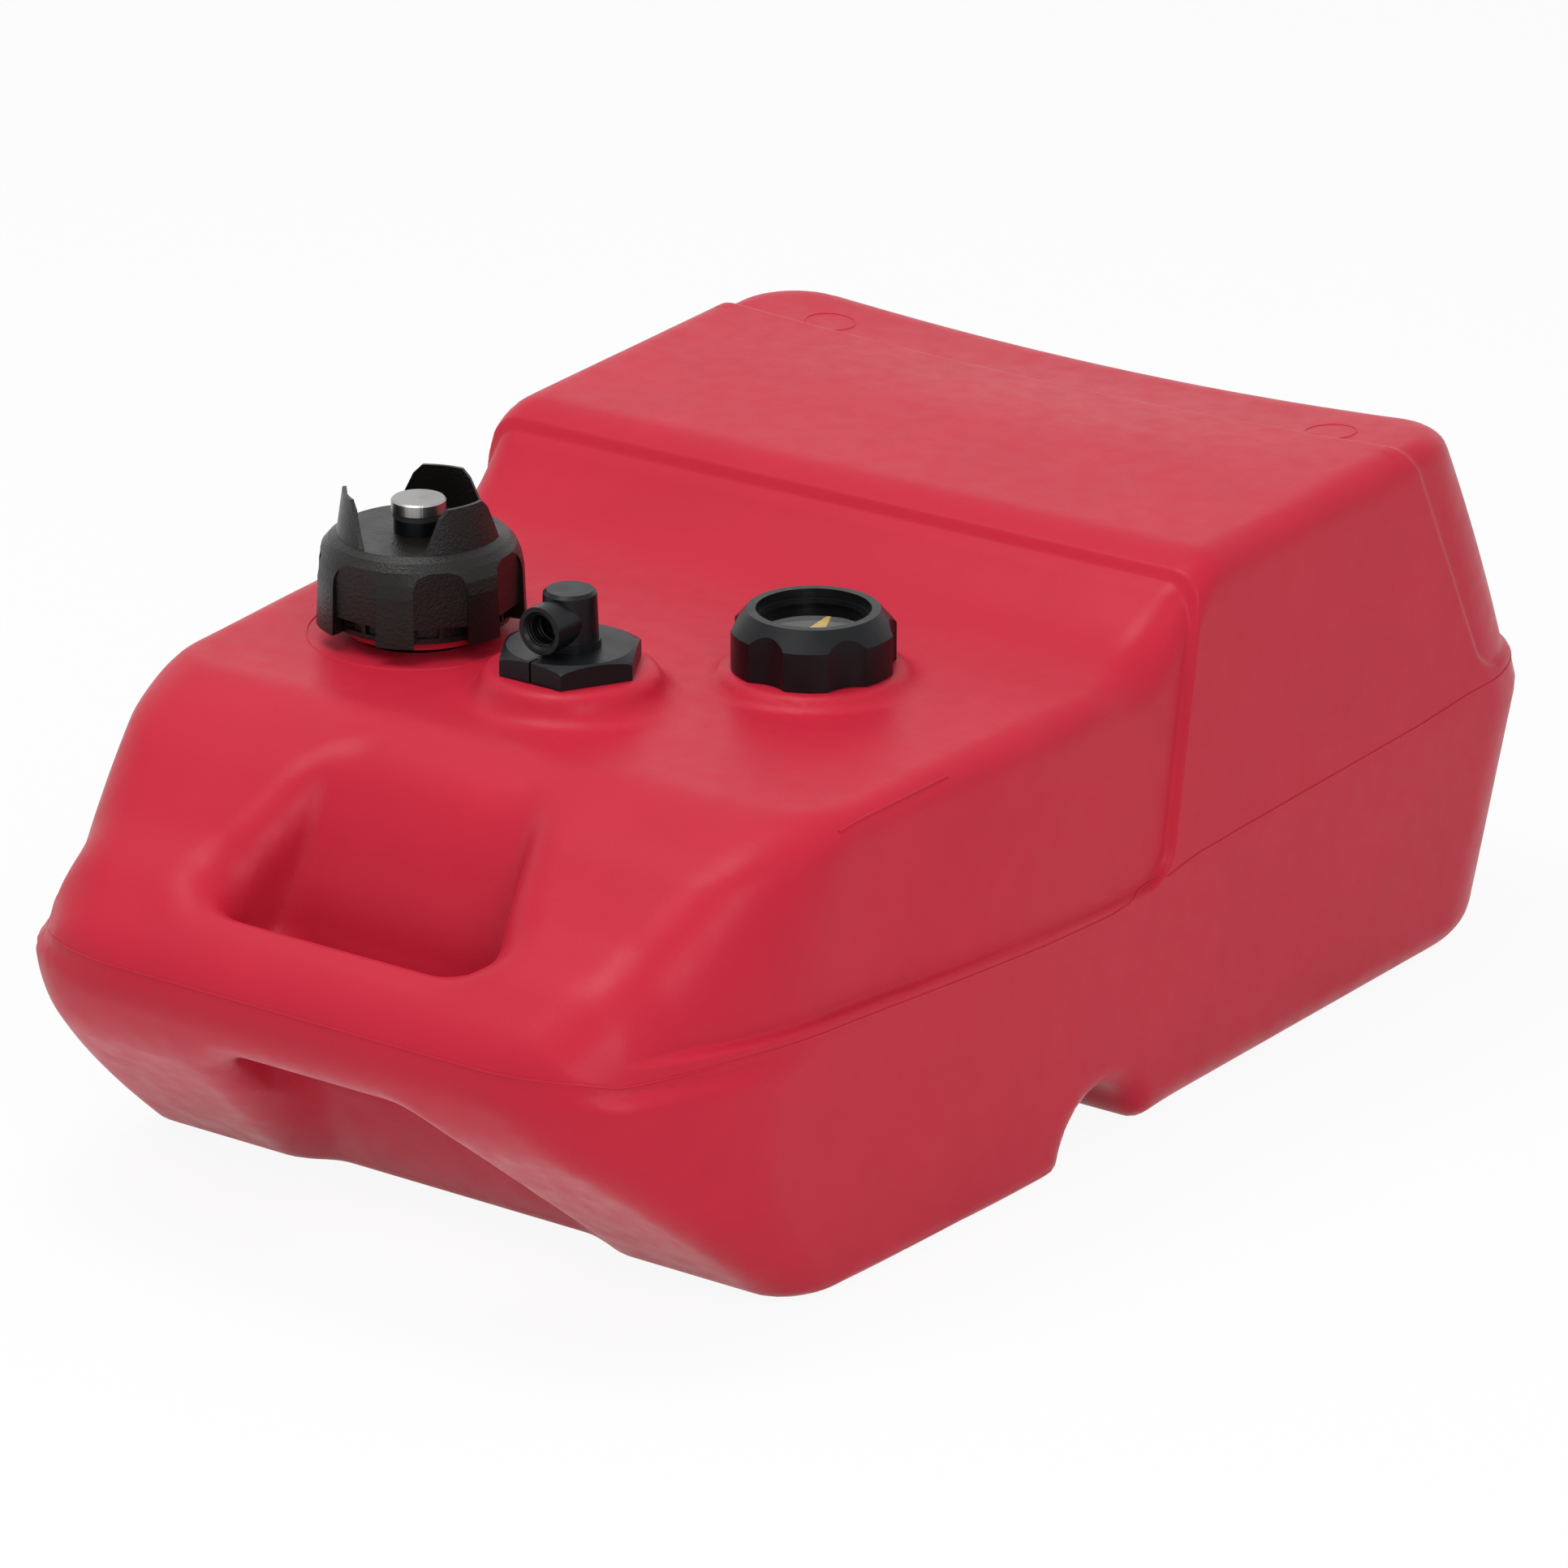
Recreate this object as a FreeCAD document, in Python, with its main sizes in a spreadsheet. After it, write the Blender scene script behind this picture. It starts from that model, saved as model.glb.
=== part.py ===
import FreeCAD, Part
import math
import os
import Sketcher
from FreeCAD import Matrix, Placement, Rotation, Vector

# Portable fuel tank for an outboard motor: a hollow blow-moulded tank with a carrying
# slot in its nose, a vented filler cap, a swivelling fuel outlet and a float gauge.
# Frame: x across, y along with the nose at -y, z up from the ground, millimetres.

# Driving sizes, in millimetres and degrees: name, value, what it sets
SIZES = [
    ("tank_length", 560, "overall length, nose to rear"),
    ("wall", 3.6, "wall of the tank"),
    ("seam_height", 97.5, "height of the parting line"),
    ("deck_height", 174, "height of the deck that carries the fittings"),
    ("hump_front_height", 206, "height of the hump at its front ridge"),
    ("hump_rear_height", 209.5, "height of the hump at its rear edge"),
    ("nose_half_width", 141, "half the seam's width at the nose"),
    ("waist_half_width", 152, "half the width of the seam beside the fittings"),
    ("rear_half_width", 157, "half the seam's width at the rear"),
    ("waist_place", 62, "distance of the waist in front of mid length"),
    ("base_half_width_loss", 4, "how much narrower the base is than the seam, each side"),
    ("top_half_width_loss", 3, "how much narrower the top is than the seam, each side"),
    ("base_setback", 90, "how far the base starts behind the nose"),
    ("deck_setback", 94, "how far the deck starts behind the nose"),
    ("base_rear_setback", 12, "how far the base ends before the rear"),
    ("top_rear_setback", 62, "how far the hump's top ends before the rear"),
    ("nose_bulge_height", 55, "height where the lower nose starts to round"),
    ("nose_bulge_setback", 21, "how far that place lies behind the nose"),
    ("nose_corner_radius", 66, "corner of the seam at the nose"),
    ("base_corner_radius", 48, "corner of the base at the nose"),
    ("rear_corner_radius", 38, "corner of the seam at the rear"),
    ("waist_radius", 420, "bend of the side at the waist"),
    ("hump_place", 41, "place of the hump's front ridge behind mid length"),
    ("hump_foot", 62, "length of the hollow slope between the deck and the ridge"),
    ("top_edge_radius", 17, "rounding of the deck's and the hump's edges"),
    ("base_edge_radius", 11, "rounding of the base's edge"),
    ("step_corner_radius", 12, "corner of that step in plan"),
    ("step_depth", 3, "how far the front upper shell is set in"),
    ("step_place", 6, "place of that step at the seam, behind mid length"),
    ("step_lean", 27, "how far that step leans back from the seam to the hump"),
    ("channel_width", 46, "width of the cross channel under the base"),
    ("channel_place_y", -15.5, "middle of the cross channel along the tank"),
    ("channel_depth", 22.5, "height of the cross channel"),
    ("grip_half_width", 45, "half the width of the carrying slot"),
    ("grip_front", 31, "thickness of the carrying bar, nose to slot"),
    ("grip_gap", 27, "width of the carrying slot, front to back"),
    ("grip_top", 107, "height of the carrying bar's top"),
    ("grip_under", 70, "height of the carrying bar's underside"),
    ("pocket_foot_half_width", 60, "half the width of the hand pocket above the carrying bar"),
    ("pocket_top_half_width", 42, "half the width of the hand pocket at the deck"),
    ("pocket_back_setback", 88, "how far the hand pocket reaches behind the nose at the deck"),
    ("recess_half_width", 64, "half the width of the recess under the nose at the base"),
    ("recess_foot", 2, "how far that recess cuts behind the base's front edge"),
    ("filler_place_x", -81, "filler axis across"),
    ("filler_place_y", -103, "filler axis along"),
    ("filler_bore_radius", 23.4, "mouth of the filler"),
    ("filler_neck_radius", 26.8, "outside of the filler neck"),
    ("filler_neck_height", 20, "height of the filler neck above the deck"),
    ("outlet_place_x", 0, "outlet axis across"),
    ("outlet_place_y", -123, "outlet axis along"),
    ("outlet_boss_radius", 30, "pad under the outlet"),
    ("outlet_boss_height", 6, "height of that pad above the deck"),
    ("boss_spread", 8, "how much wider the outlet's pad is at its foot"),
    ("outlet_neck_radius", 17.5, "outside of the outlet neck"),
    ("outlet_neck_bore", 12.5, "mouth of the outlet neck"),
    ("outlet_neck_height", 2.2, "height of the outlet neck above its pad"),
    ("gauge_place_x", 60, "gauge axis across"),
    ("gauge_place_y", -64, "gauge axis along"),
    ("gauge_boss_radius", 33, "pad under the gauge"),
    ("gauge_boss_height", 1.6, "height of that pad above the deck"),
    ("gauge_neck_radius", 23.8, "outside of the gauge neck"),
    ("gauge_neck_bore", 19, "mouth of the gauge neck"),
    ("gauge_neck_height", 7, "height of the gauge neck above the deck"),
    ("thread_room", 1.5, "room for a screw thread between neck and cap"),
    ("running_gap", 0.06, "gap of a running fit, on the radius"),
    ("cap_lift", 2, "gap between the deck and the cap's skirt"),
    ("cap_radius", 37.3, "outside of the filler cap"),
    ("cap_bore", 31.9, "inside of the filler cap's skirt"),
    ("cap_shoulder_height", 18, "top of the cap's upright skirt"),
    ("cap_height", 31, "height of the cap without its wings"),
    ("cap_top_radius", 28.9, "flat top of the cap"),
    ("cap_ceiling", 2.6, "thickness of the cap's top"),
    ("scallop_count", 7, "finger scallops round the cap"),
    ("scallop_width", 19.4, "width of a scallop"),
    ("scallop_floor_radius", 34, "distance of a scallop's floor from the axis"),
    ("scallop_top", 26.5, "top of a scallop above the skirt's edge"),
    ("scallop_sill", 6.3, "lower edge of a scallop's floor above the skirt's edge"),
    ("scallop_turn", -1.6, "turn of the row of scallops, degrees"),
    ("scallop_corner", 6, "corner of a scallop's outline"),
    ("cap_crown_height", 23.4, "height where the cap's inside starts to narrow"),
    ("cap_crown_radius", 27, "inside of the cap at its ceiling"),
    ("wing_count", 3, "wings on the cap"),
    ("wing_height", 15.5, "height of a wing"),
    ("wing_thickness", 1.4, "thickness of a wing"),
    ("wing_lean", 2.4, "how far a wing leans in over its height"),
    ("wing_base_width", 34, "width of a wing at its foot"),
    ("wing_tip_width", 19, "width of a wing at its tip"),
    ("wing_turn", -12, "direction of the first wing, degrees"),
    ("wing_root", 0.6, "how far a wing is sunk into the cap's top"),
    ("insert_radius", 30.3, "outside of the threaded insert"),
    ("insert_ceiling", 2.6, "thickness of the insert's top"),
    ("insert_rib_count", 21, "ribs round the insert"),
    ("insert_rib_width", 1.6, "width of a rib"),
    ("insert_lift", 2, "foot of the insert above the skirt's edge"),
    ("insert_rib_gap", 0.2, "gap between the ribs and the cap's inside"),
    ("cap_gasket_thickness", 2.4, "thickness of the cap's gasket"),
    ("cap_gasket_gap", 0.2, "gap between the gasket and the insert's thread"),
    ("vent_hub_radius", 9.5, "hub on the insert that carries the vent"),
    ("vent_collar_radius", 6, "shank of the vent's threaded collar"),
    ("vent_flange_radius", 8.8, "flange of the vent's collar"),
    ("vent_flange_height", 5.4, "height of that flange above the cap"),
    ("vent_stem_radius", 2.5, "stem of the vent screw"),
    ("vent_end_radius", 4.2, "disc that keeps the stem from coming out"),
    ("vent_end_thickness", 1.4, "thickness of that disc"),
    ("vent_travel", 2.5, "how far the vent screw opens"),
    ("vent_socket_depth", 3.4, "depth of the stem in the knob"),
    ("vent_seal_radius", 9.1, "washer under the vent knob"),
    ("vent_seal_thickness", 1.7, "thickness of that washer"),
    ("vent_knob_radius", 9.65, "vent knob"),
    ("vent_knob_height", 4.9, "height of the vent knob"),
    ("nut_radius", 26.4, "outlet nut, centre to corner"),
    ("nut_height", 7.6, "height of the outlet nut"),
    ("nut_lip", 1.9, "thickness of the nut's lip over the elbow's flange"),
    ("nut_gap", 0.3, "gap between the nut and the pad below it"),
    ("nut_rounding", 2.2, "rounding of the nut's upper edges"),
    ("nut_slit", 0.8, "slit in the middle of one flat"),
    ("outlet_gasket_thickness", 1.2, "gasket on the outlet neck"),
    ("pickup_flange_thickness", 1.2, "flange of the pickup holder"),
    ("pickup_socket_radius", 10, "outside of the pickup holder's socket"),
    ("pickup_socket_length", 24, "length of that socket below its flange"),
    ("pickup_shoulder", 3, "shoulder between the elbow's spigot and the pickup tube"),
    ("spigot_end_room", 1.2, "room below the elbow's spigot"),
    ("elbow_flange_radius", 15.5, "flange of the elbow under the nut"),
    ("elbow_collar_radius", 10.7, "collar of the elbow above the nut"),
    ("elbow_collar_height", 2.6, "height of that collar above the nut"),
    ("elbow_root_radius", 9.9, "elbow's barrel at its foot"),
    ("elbow_top_radius", 9.3, "elbow's barrel at its top"),
    ("elbow_height", 20, "height of the elbow above the nut"),
    ("elbow_spigot_radius", 5.4, "spigot of the elbow in the pickup holder"),
    ("elbow_spigot_length", 9, "length of that spigot below the flange"),
    ("elbow_passage_radius", 3, "fuel passage in the elbow"),
    ("branch_radius", 8.5, "outlet branch"),
    ("branch_reach", 17.5, "outlet branch's end from the elbow's axis"),
    ("branch_height", 9.6, "outlet branch's axis above the nut"),
    ("branch_bore", 5.9, "threaded bore of the outlet branch"),
    ("branch_bore_length", 10.5, "length of that bore"),
    ("branch_chamfer", 0.95, "chamfer at the mouth of that bore"),
    ("seal_ring_radius", 1.1, "section of the elbow's O-ring"),
    ("pickup_tube_radius", 4.75, "outside of the pickup tube"),
    ("pickup_tube_bore", 3.4, "inside of the pickup tube"),
    ("strainer_radius", 8, "pickup strainer"),
    ("strainer_height", 20, "height of the strainer"),
    ("strainer_wall", 1.2, "wall of the strainer"),
    ("strainer_window_count", 6, "windows round the strainer"),
    ("strainer_window_width", 4.4, "width of a window"),
    ("strainer_window_margin", 3.5, "height of the closed bands below and above the windows"),
    ("strainer_floor_gap", 0.3, "gap between the strainer and the tank's floor"),
    ("ring_radius", 28.9, "lobes of the gauge's ring"),
    ("ring_height", 20.4, "height of the gauge's ring"),
    ("ring_lift", 0.4, "gap between the ring and the pad below it"),
    ("ring_side_height", 13.6, "upright side of the ring"),
    ("ring_top_radius", 23.1, "outer edge of the ring's top"),
    ("ring_mouth_radius", 20, "mouth of the ring"),
    ("ring_step_radius", 18.7, "step inside the ring's mouth"),
    ("ring_step_depth", 3.2, "depth of that step below the ring's top"),
    ("ring_lobe_count", 6, "lobes round the ring"),
    ("ring_hollow_depth", 2.9, "depth of the hollows between the lobes"),
    ("ring_hollow_width", 17.2, "width of a hollow"),
    ("lens_depth", 5, "depth of the lens below the ring's top"),
    ("lens_radius", 23.6, "gauge lens"),
    ("lens_thickness", 2, "thickness of the lens"),
    ("gauge_gasket_thickness", 1.5, "gasket on the gauge neck"),
    ("frame_flange_thickness", 1.6, "flange of the gauge's frame"),
    ("frame_cup_radius", 23.4, "cup of the frame below the lens"),
    ("dial_hole", 2.2, "hole in the dial round the spindle"),
    ("pointer_hub_radius", 4.2, "round middle of the pointer"),
    ("pointer_tip_width", 1.6, "width of the pointer's tip"),
    ("frame_cup_wall", 1.8, "wall of that cup"),
    ("dial_radius", 19.4, "dial"),
    ("dial_thickness", 0.8, "thickness of the dial"),
    ("pointer_gap", 0.5, "gap between the pointer and the dial"),
    ("pointer_thickness", 1.2, "thickness of the pointer"),
    ("pointer_reach", 16.4, "pointer's tip from the axis"),
    ("pointer_width", 6.6, "width of the pointer"),
    ("pointer_turn", 107, "direction of the pointer when empty, degrees"),
    ("spindle_radius", 1.5, "spindle under the pointer"),
    ("strip_width", 4, "width of the twisted strip"),
    ("strip_thickness", 0.8, "thickness of the twisted strip"),
    ("float_radius", 14.5, "float"),
    ("float_height", 22, "height of the float"),
    ("float_bore", 5, "hole through the float"),
    ("float_travel", 112, "travel of the float from empty to full"),
    ("driver_radius", 7.5, "slotted driver in the foot of the float"),
    ("driver_thickness", 2.4, "thickness of the driver"),
    ("driver_gap", 0.5, "gap between the driver's slot and the strip"),
    ("rail_reach", 10, "centre of a frame rail from the axis"),
    ("rail_width", 4, "width of a rail"),
    ("rail_thickness", 2.2, "thickness of a rail"),
    ("rail_gap", 0.5, "gap between a rail and the float"),
    ("foot_thickness", 3, "foot plate of the gauge"),
    ("foot_floor_gap", 0.3, "gap between the foot plate and the tank's floor"),
    ("float_rest_gap", 0.6, "gap between the resting float and the foot plate"),
    ("spindle_drop", 4, "how far the spindle reaches below the frame's flange"),
    ("foot_radius", 13.5, "foot plate"),
]

POINTER_SWEEP = 180    # degrees that the pointer turns over the float's travel
STRIP_SECTIONS = 12    # flat stretches of the twisted strip

doc = FreeCAD.newDocument("outboard_fuel_tank")
sheet = doc.addObject("Spreadsheet::Sheet", "Dims")
for row, (alias, value, meaning) in enumerate(SIZES, start=1):
    sheet.set(f"A{row}", alias)
    sheet.set(f"B{row}", str(value))
    sheet.set(f"C{row}", meaning)
    sheet.setAlias(f"B{row}", alias)
doc.recompute()


def size(alias):
    """The value of one driving size."""
    return float(sheet.get(alias))


def bind(text):
    """Turn plain size names in a formula into references to the sheet."""
    names = sorted((entry[0] for entry in SIZES), key=len, reverse=True)
    out = ""
    word = ""
    for letter in str(text) + " ":
        if letter.isalnum() or letter == "_":
            word += letter
            continue
        out += "Dims." + word if word in names else word
        out += letter
        word = ""
    return out.strip()


def place(thing, x, y, z):
    """Bind an object's position."""
    for axis, formula in zip("xyz", (x, y, z)):
        thing.setExpression("Placement.Base." + axis, bind(formula))
    return thing


def primitive(kind, name, where, turn=None, **sizes):
    """A Part primitive with its sizes and its position bound to the sheet."""
    thing = doc.addObject("Part::" + kind, name)
    for key, formula in sizes.items():
        thing.setExpression(key, bind(formula))
    if turn is not None:
        thing.Placement = Placement(Vector(), Rotation(*turn))
    return place(thing, *where)


def cut(name, base, tool):
    thing = doc.addObject("Part::Cut", name)
    thing.Base = base
    thing.Tool = tool
    return thing


def fuse(name, *shapes):
    thing = doc.addObject("Part::MultiFuse", name)
    thing.Shapes = list(shapes)
    thing.Refine = True
    return thing


def common(name, *shapes):
    thing = doc.addObject("Part::MultiCommon", name)
    thing.Shapes = list(shapes)
    return thing


def tube(name, outer, inner, low, high, x, y):
    """An upright tube between two heights."""
    height = f"({high}) - ({low})"
    outside = primitive("Cylinder", name + "_outside", (x, y, low), Radius=outer, Height=height)
    bore = primitive("Cylinder", name + "_bore", (x, y, f"({low}) - 1"), Radius=inner, Height=height + " + 2")
    return cut(name, outside, bore)


def origin_plane(body, role):
    return next(item for item in body.Origin.OriginFeatures if item.Role == role)


def draw_outline(sketch, outline):
    """Draw a closed outline of straight lines whose corners are bound to the sheet."""
    points = [(evaluate(across), evaluate(up)) for across, up in outline]
    count = len(points)
    for index in range(count):
        start = points[index]
        end = points[(index + 1) % count]
        sketch.addGeometry(Part.LineSegment(Vector(*start, 0), Vector(*end, 0)), False)
    for index in range(count):
        sketch.addConstraint(Sketcher.Constraint("Coincident", index, 2, (index + 1) % count, 1))
    for index, (across, up) in enumerate(outline):
        for kind, formula, value in (("DistanceX", across, points[index][0]),
                                     ("DistanceY", up, points[index][1])):
            number = sketch.addConstraint(Sketcher.Constraint(kind, -1, 1, index, 1, value))
            sketch.setExpression(f"Constraints[{number}]", bind(formula))


def new_sketch(body, name, role):
    sketch = body.newObject("Sketcher::SketchObject", name)
    sketch.AttachmentSupport = [(origin_plane(body, role), "")]
    sketch.MapMode = "FlatFace"
    return sketch


def turned(name, where, outline):
    """A PartDesign body turned about an upright axis from an outline of (radius, height)."""
    body = doc.addObject("PartDesign::Body", name)
    sketch = new_sketch(body, name + "_outline", "XZ_Plane")
    draw_outline(sketch, outline)
    turn = body.newObject("PartDesign::Revolution", name + "_turned")
    turn.Profile = sketch
    turn.ReferenceAxis = (sketch, ["V_Axis"])
    turn.Angle = 360
    body.Tip = turn
    place(body, *where)
    return body


def flat(name, where, outline, thickness):
    """A PartDesign body padded upward from a level outline of (x, y)."""
    body = doc.addObject("PartDesign::Body", name)
    sketch = new_sketch(body, name + "_outline", "XY_Plane")
    draw_outline(sketch, outline)
    pad = body.newObject("PartDesign::Pad", name + "_padded")
    pad.Profile = sketch
    pad.setExpression("Length", bind(thickness))
    body.Tip = pad
    place(body, *where)
    return body


def from_side(body, kind, name, offset, outline, depth):
    """Pad or cut outward toward -y, from an upright plane in front of the body's axis."""
    sketch = new_sketch(body, name + "_outline", "XZ_Plane")
    sketch.setExpression("AttachmentOffset.Base.z", bind(offset))
    draw_outline(sketch, outline)
    feature = body.newObject("PartDesign::" + kind, name)
    feature.Profile = sketch
    feature.Reversed = kind == "Pocket"
    feature.setExpression("Length", bind(depth))
    body.Tip = feature
    return feature


def drill(body, name, distance, radius):
    """Cut an upright round hole right through the body, in front of its axis."""
    sketch = new_sketch(body, name + "_outline", "XY_Plane")
    centre = Vector(0, -evaluate(distance), 0)
    sketch.addGeometry(Part.Circle(centre, Vector(0, 0, 1), evaluate(radius)), False)
    sketch.addConstraint(Sketcher.Constraint("PointOnObject", 0, 3, -2))
    number = sketch.addConstraint(Sketcher.Constraint("DistanceY", 0, 3, -1, 1, -centre.y))
    sketch.setExpression(f"Constraints[{number}]", bind(distance))
    number = sketch.addConstraint(Sketcher.Constraint("Radius", 0, evaluate(radius)))
    sketch.setExpression(f"Constraints[{number}]", bind(radius))
    feature = body.newObject("PartDesign::Pocket", name)
    feature.Profile = sketch
    feature.Midplane = True
    feature.Type = "ThroughAll"
    body.Tip = feature
    return feature


def turn_by(thing, formula):
    """Bind an object's turn about the upright axis, in degrees."""
    thing.setExpression("Placement.Rotation.Angle", bind(formula))
    return thing


def evaluate(formula):
    """The number that a formula of size names gives now."""
    return float(sheet.evalExpression(bind(formula)))


def polar(body, feature, count, name):
    """Repeat a feature round the body's upright axis."""
    pattern = body.newObject("PartDesign::PolarPattern", name)
    pattern.Originals = [feature]
    pattern.Axis = (origin_plane(body, "Z_Axis"), [""])
    pattern.Angle = 360
    pattern.setExpression("Occurrences", bind(count))
    body.Tip = pattern
    return pattern


def rounded_outline(corners, height):
    """A closed level wire through (x, y, radius) corners, with an arc at each."""
    edges = []
    joints = []
    count = len(corners)
    for index, (x, y, radius) in enumerate(corners):
        corner = Vector(x, y, height)
        before = Vector(*corners[index - 1][:2], height) - corner
        after = Vector(*corners[(index + 1) % count][:2], height) - corner
        before.normalize()
        after.normalize()
        half = before.getAngle(after) / 2
        reach = radius / math.tan(half)
        middle = before + after
        middle.normalize()
        centre = corner + middle * (radius / math.sin(half))
        joints.append((corner + before * reach, centre - middle * radius, corner + after * reach))
    for index in range(count):
        start, through, end = joints[index]
        edges.append(Part.Arc(start, through, end).toShape())
        edges.append(Part.LineSegment(end, joints[(index + 1) % count][0]).toShape())
    return Part.Wire(edges)


# Rounded edges are drawn as level sections this many degrees of the rounding apart
EDGE_STEPS = (0, 30, 60, 90)
# The hollow slope up to the hump: share of its height against share of its length
HUMP_SLOPE = ((0, 0), (0.12, 0.38), (0.34, 0.65), (0.66, 0.86), (0.88, 0.95))


def half_width(y, low_share=0.0, top_share=0.0):
    """Half the tank's width at a place along it, at the seam or nearer the base or the top."""
    half = size("tank_length") / 2
    waist_y = -size("waist_place")
    if y < waist_y:
        share = (y + half) / (waist_y + half)
        width = size("nose_half_width") + share * (size("waist_half_width") - size("nose_half_width"))
    else:
        share = (y - waist_y) / (half - waist_y)
        width = size("waist_half_width") + share * (size("rear_half_width") - size("waist_half_width"))
    return width - low_share * size("base_half_width_loss") - top_share * size("top_half_width_loss")


def section(height, front, rear, front_radius, rear_radius, inset, shares=(0, 0)):
    """A level section of the tank: rounded corners and a bend at the waist, mirrored in x."""
    waist_y = -size("waist_place")
    right = [(half_width(front, *shares) - inset, front, max(front_radius, 4)),
             (half_width(rear, *shares) - inset, rear, max(rear_radius, 4))]
    if front < waist_y:
        bend = (half_width(waist_y, *shares) - inset, waist_y, size("waist_radius"))
        right.insert(1, bend)
    left = [(-x, y, radius) for x, y, radius in reversed(right)]
    return rounded_outline(right + left, height)


def stack(sections):
    """A solid through level sections, straight between each two."""
    return Part.makeLoft(sections, True, True)


def edge_rounding(radius):
    """Pairs of drop below the face and set-in from the side, round a quarter turn."""
    turns = [math.radians(degrees) for degrees in EDGE_STEPS]
    return [(radius * (1 - math.sin(turn)), radius * (1 - math.cos(turn))) for turn in turns]


def lower_form(inset):
    """The lower shell, from the base to the seam."""
    half = size("tank_length") / 2
    seam_z = size("seam_height")
    bulge_z = size("nose_bulge_height")
    radius = size("base_edge_radius")
    base_front = -half + size("base_setback")
    bulge_front = -half + size("nose_bulge_setback")
    nose_slope = (base_front - bulge_front) / bulge_z
    face_inset = inset * math.hypot(1, nose_slope)
    rear_corner = size("rear_corner_radius") - inset
    sections = []
    for drop, set_in in reversed(edge_rounding(radius)):
        z = inset + drop
        share = 1 - z / seam_z
        front = base_front - nose_slope * z + face_inset + set_in
        rear = half - size("base_rear_setback") * share - inset - set_in
        sections.append(section(z, front, rear, size("base_corner_radius") - set_in,
                                rear_corner - set_in, inset + set_in, (share, 0)))
    share = 1 - bulge_z / seam_z
    rear = half - size("base_rear_setback") * share - inset
    corner = size("nose_corner_radius") - inset
    sections.append(section(bulge_z, bulge_front + inset * 1.3, rear, corner, rear_corner, inset,
                            (share, 0)))
    middle_z = (bulge_z * 0.45 + seam_z * 0.55)
    middle_front = -half + size("nose_bulge_setback") * 0.25
    share = 1 - middle_z / seam_z
    rear = half - size("base_rear_setback") * share - inset
    sections.append(section(middle_z, middle_front + inset, rear, corner, rear_corner, inset,
                            (share, 0)))
    sections.append(section(seam_z, -half + inset, half - inset, corner, rear_corner, inset))
    return stack(sections)


def deck_form(inset):
    """The front upper shell up to the deck, set in by the step."""
    half = size("tank_length") / 2
    seam_z = size("seam_height")
    deck = size("deck_height") - inset
    radius = size("top_edge_radius")
    inward = inset + size("step_depth")
    slope = size("deck_setback") / (size("deck_height") - seam_z)
    face_inset = inward * math.hypot(1, slope)
    rear = size("tank_length") / 4
    corner = size("nose_corner_radius") - inward
    deck_corner = size("base_corner_radius") - inward
    nose_z = seam_z + radius * 0.6
    sections = [section(seam_z, -half + inward, rear, corner, 4, inward),
                section(nose_z, -half + slope * (nose_z - seam_z) + face_inset * 0.8, rear, corner,
                        4, inward, (0, 0.2))]
    for drop, set_in in edge_rounding(radius):
        z = deck - drop
        front = -half + slope * (z - seam_z) + face_inset * 0.8 + set_in * 0.5
        share = (z - seam_z) / (size("hump_rear_height") - seam_z)
        sections.append(section(z, front, rear, deck_corner, 4, inward + set_in, (0, share)))
    return stack(sections)


def slope_form(inset):
    """The hollow slope between the deck and the hump's front ridge, set in by the step."""
    seam_z = size("seam_height")
    deck = size("deck_height") - inset
    ridge_z = size("hump_front_height") - inset
    ridge_y = size("hump_place") + inset
    rear = size("tank_length") / 4
    inward = inset + size("step_depth")
    radius = size("top_edge_radius")
    foot_y = ridge_y - size("hump_foot")
    sections = [section(deck - radius * 1.5, foot_y - radius, rear, 4, 4, inward + radius * 0.5)]
    for rise, run in HUMP_SLOPE:
        z = deck + rise * (ridge_z - deck)
        share = (z - seam_z) / (size("hump_rear_height") - seam_z)
        narrowing = radius * (1 - 0.7 * rise)
        sections.append(section(z, foot_y + run * size("hump_foot"), rear, 6, 4, inward + narrowing,
                                (0, share)))
    return stack(sections)


def hump_form(inset):
    """The rear upper shell, from the seam to the top of the hump."""
    half = size("tank_length") / 2
    seam_z = size("seam_height")
    top = size("hump_rear_height") - inset
    radius = size("top_edge_radius")
    rise = size("hump_rear_height") - seam_z
    rear_slope = size("top_rear_setback") / rise
    corner = size("rear_corner_radius") - inset
    step = size("step_corner_radius")
    front = size("step_place") + inset
    lean = size("step_lean") / rise
    sections = [section(seam_z, front, half - inset, step, corner, inset)]
    for drop, set_in in edge_rounding(radius):
        z = top - drop
        rear = half - rear_slope * (z - seam_z) - inset - set_in * 0.6
        sections.append(section(z, front + lean * (z - seam_z) + set_in * 0.5, rear, step, corner,
                                inset + set_in, (0, (z - seam_z) / rise)))
    solid = stack(sections)
    # The hump's top falls a little towards its front ridge
    far = size("tank_length")
    fall = size("hump_rear_height") - size("hump_front_height")
    rear_y = half - size("top_rear_setback")
    tilt = math.atan2(fall, rear_y - size("hump_place"))
    lid = Part.makeBox(far, far * 2, far, Vector(-far / 2, -far, 0))
    lid.Placement = Placement(Vector(0, rear_y, top), Rotation(Vector(1, 0, 0), math.degrees(tilt)))
    return solid.cut(lid)


def tank_form(inset):
    """The tank without its pocket, slot, channel and necks, set in all round by one distance."""
    form = lower_form(inset)
    for piece in (hump_form(inset), deck_form(inset), slope_form(inset)):
        form = form.fuse(piece)
    return form.removeSplitter()


def block_stack(levels):
    """A cutter through level rectangles of (height, half width, front, back, corner radius)."""
    wires = []
    for height, half, front, back, radius in levels:
        corners = [(half, front, radius), (half, back, radius), (-half, back, radius), (-half, front, radius)]
        wires.append(rounded_outline(corners, height))
    return stack(wires)


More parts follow.
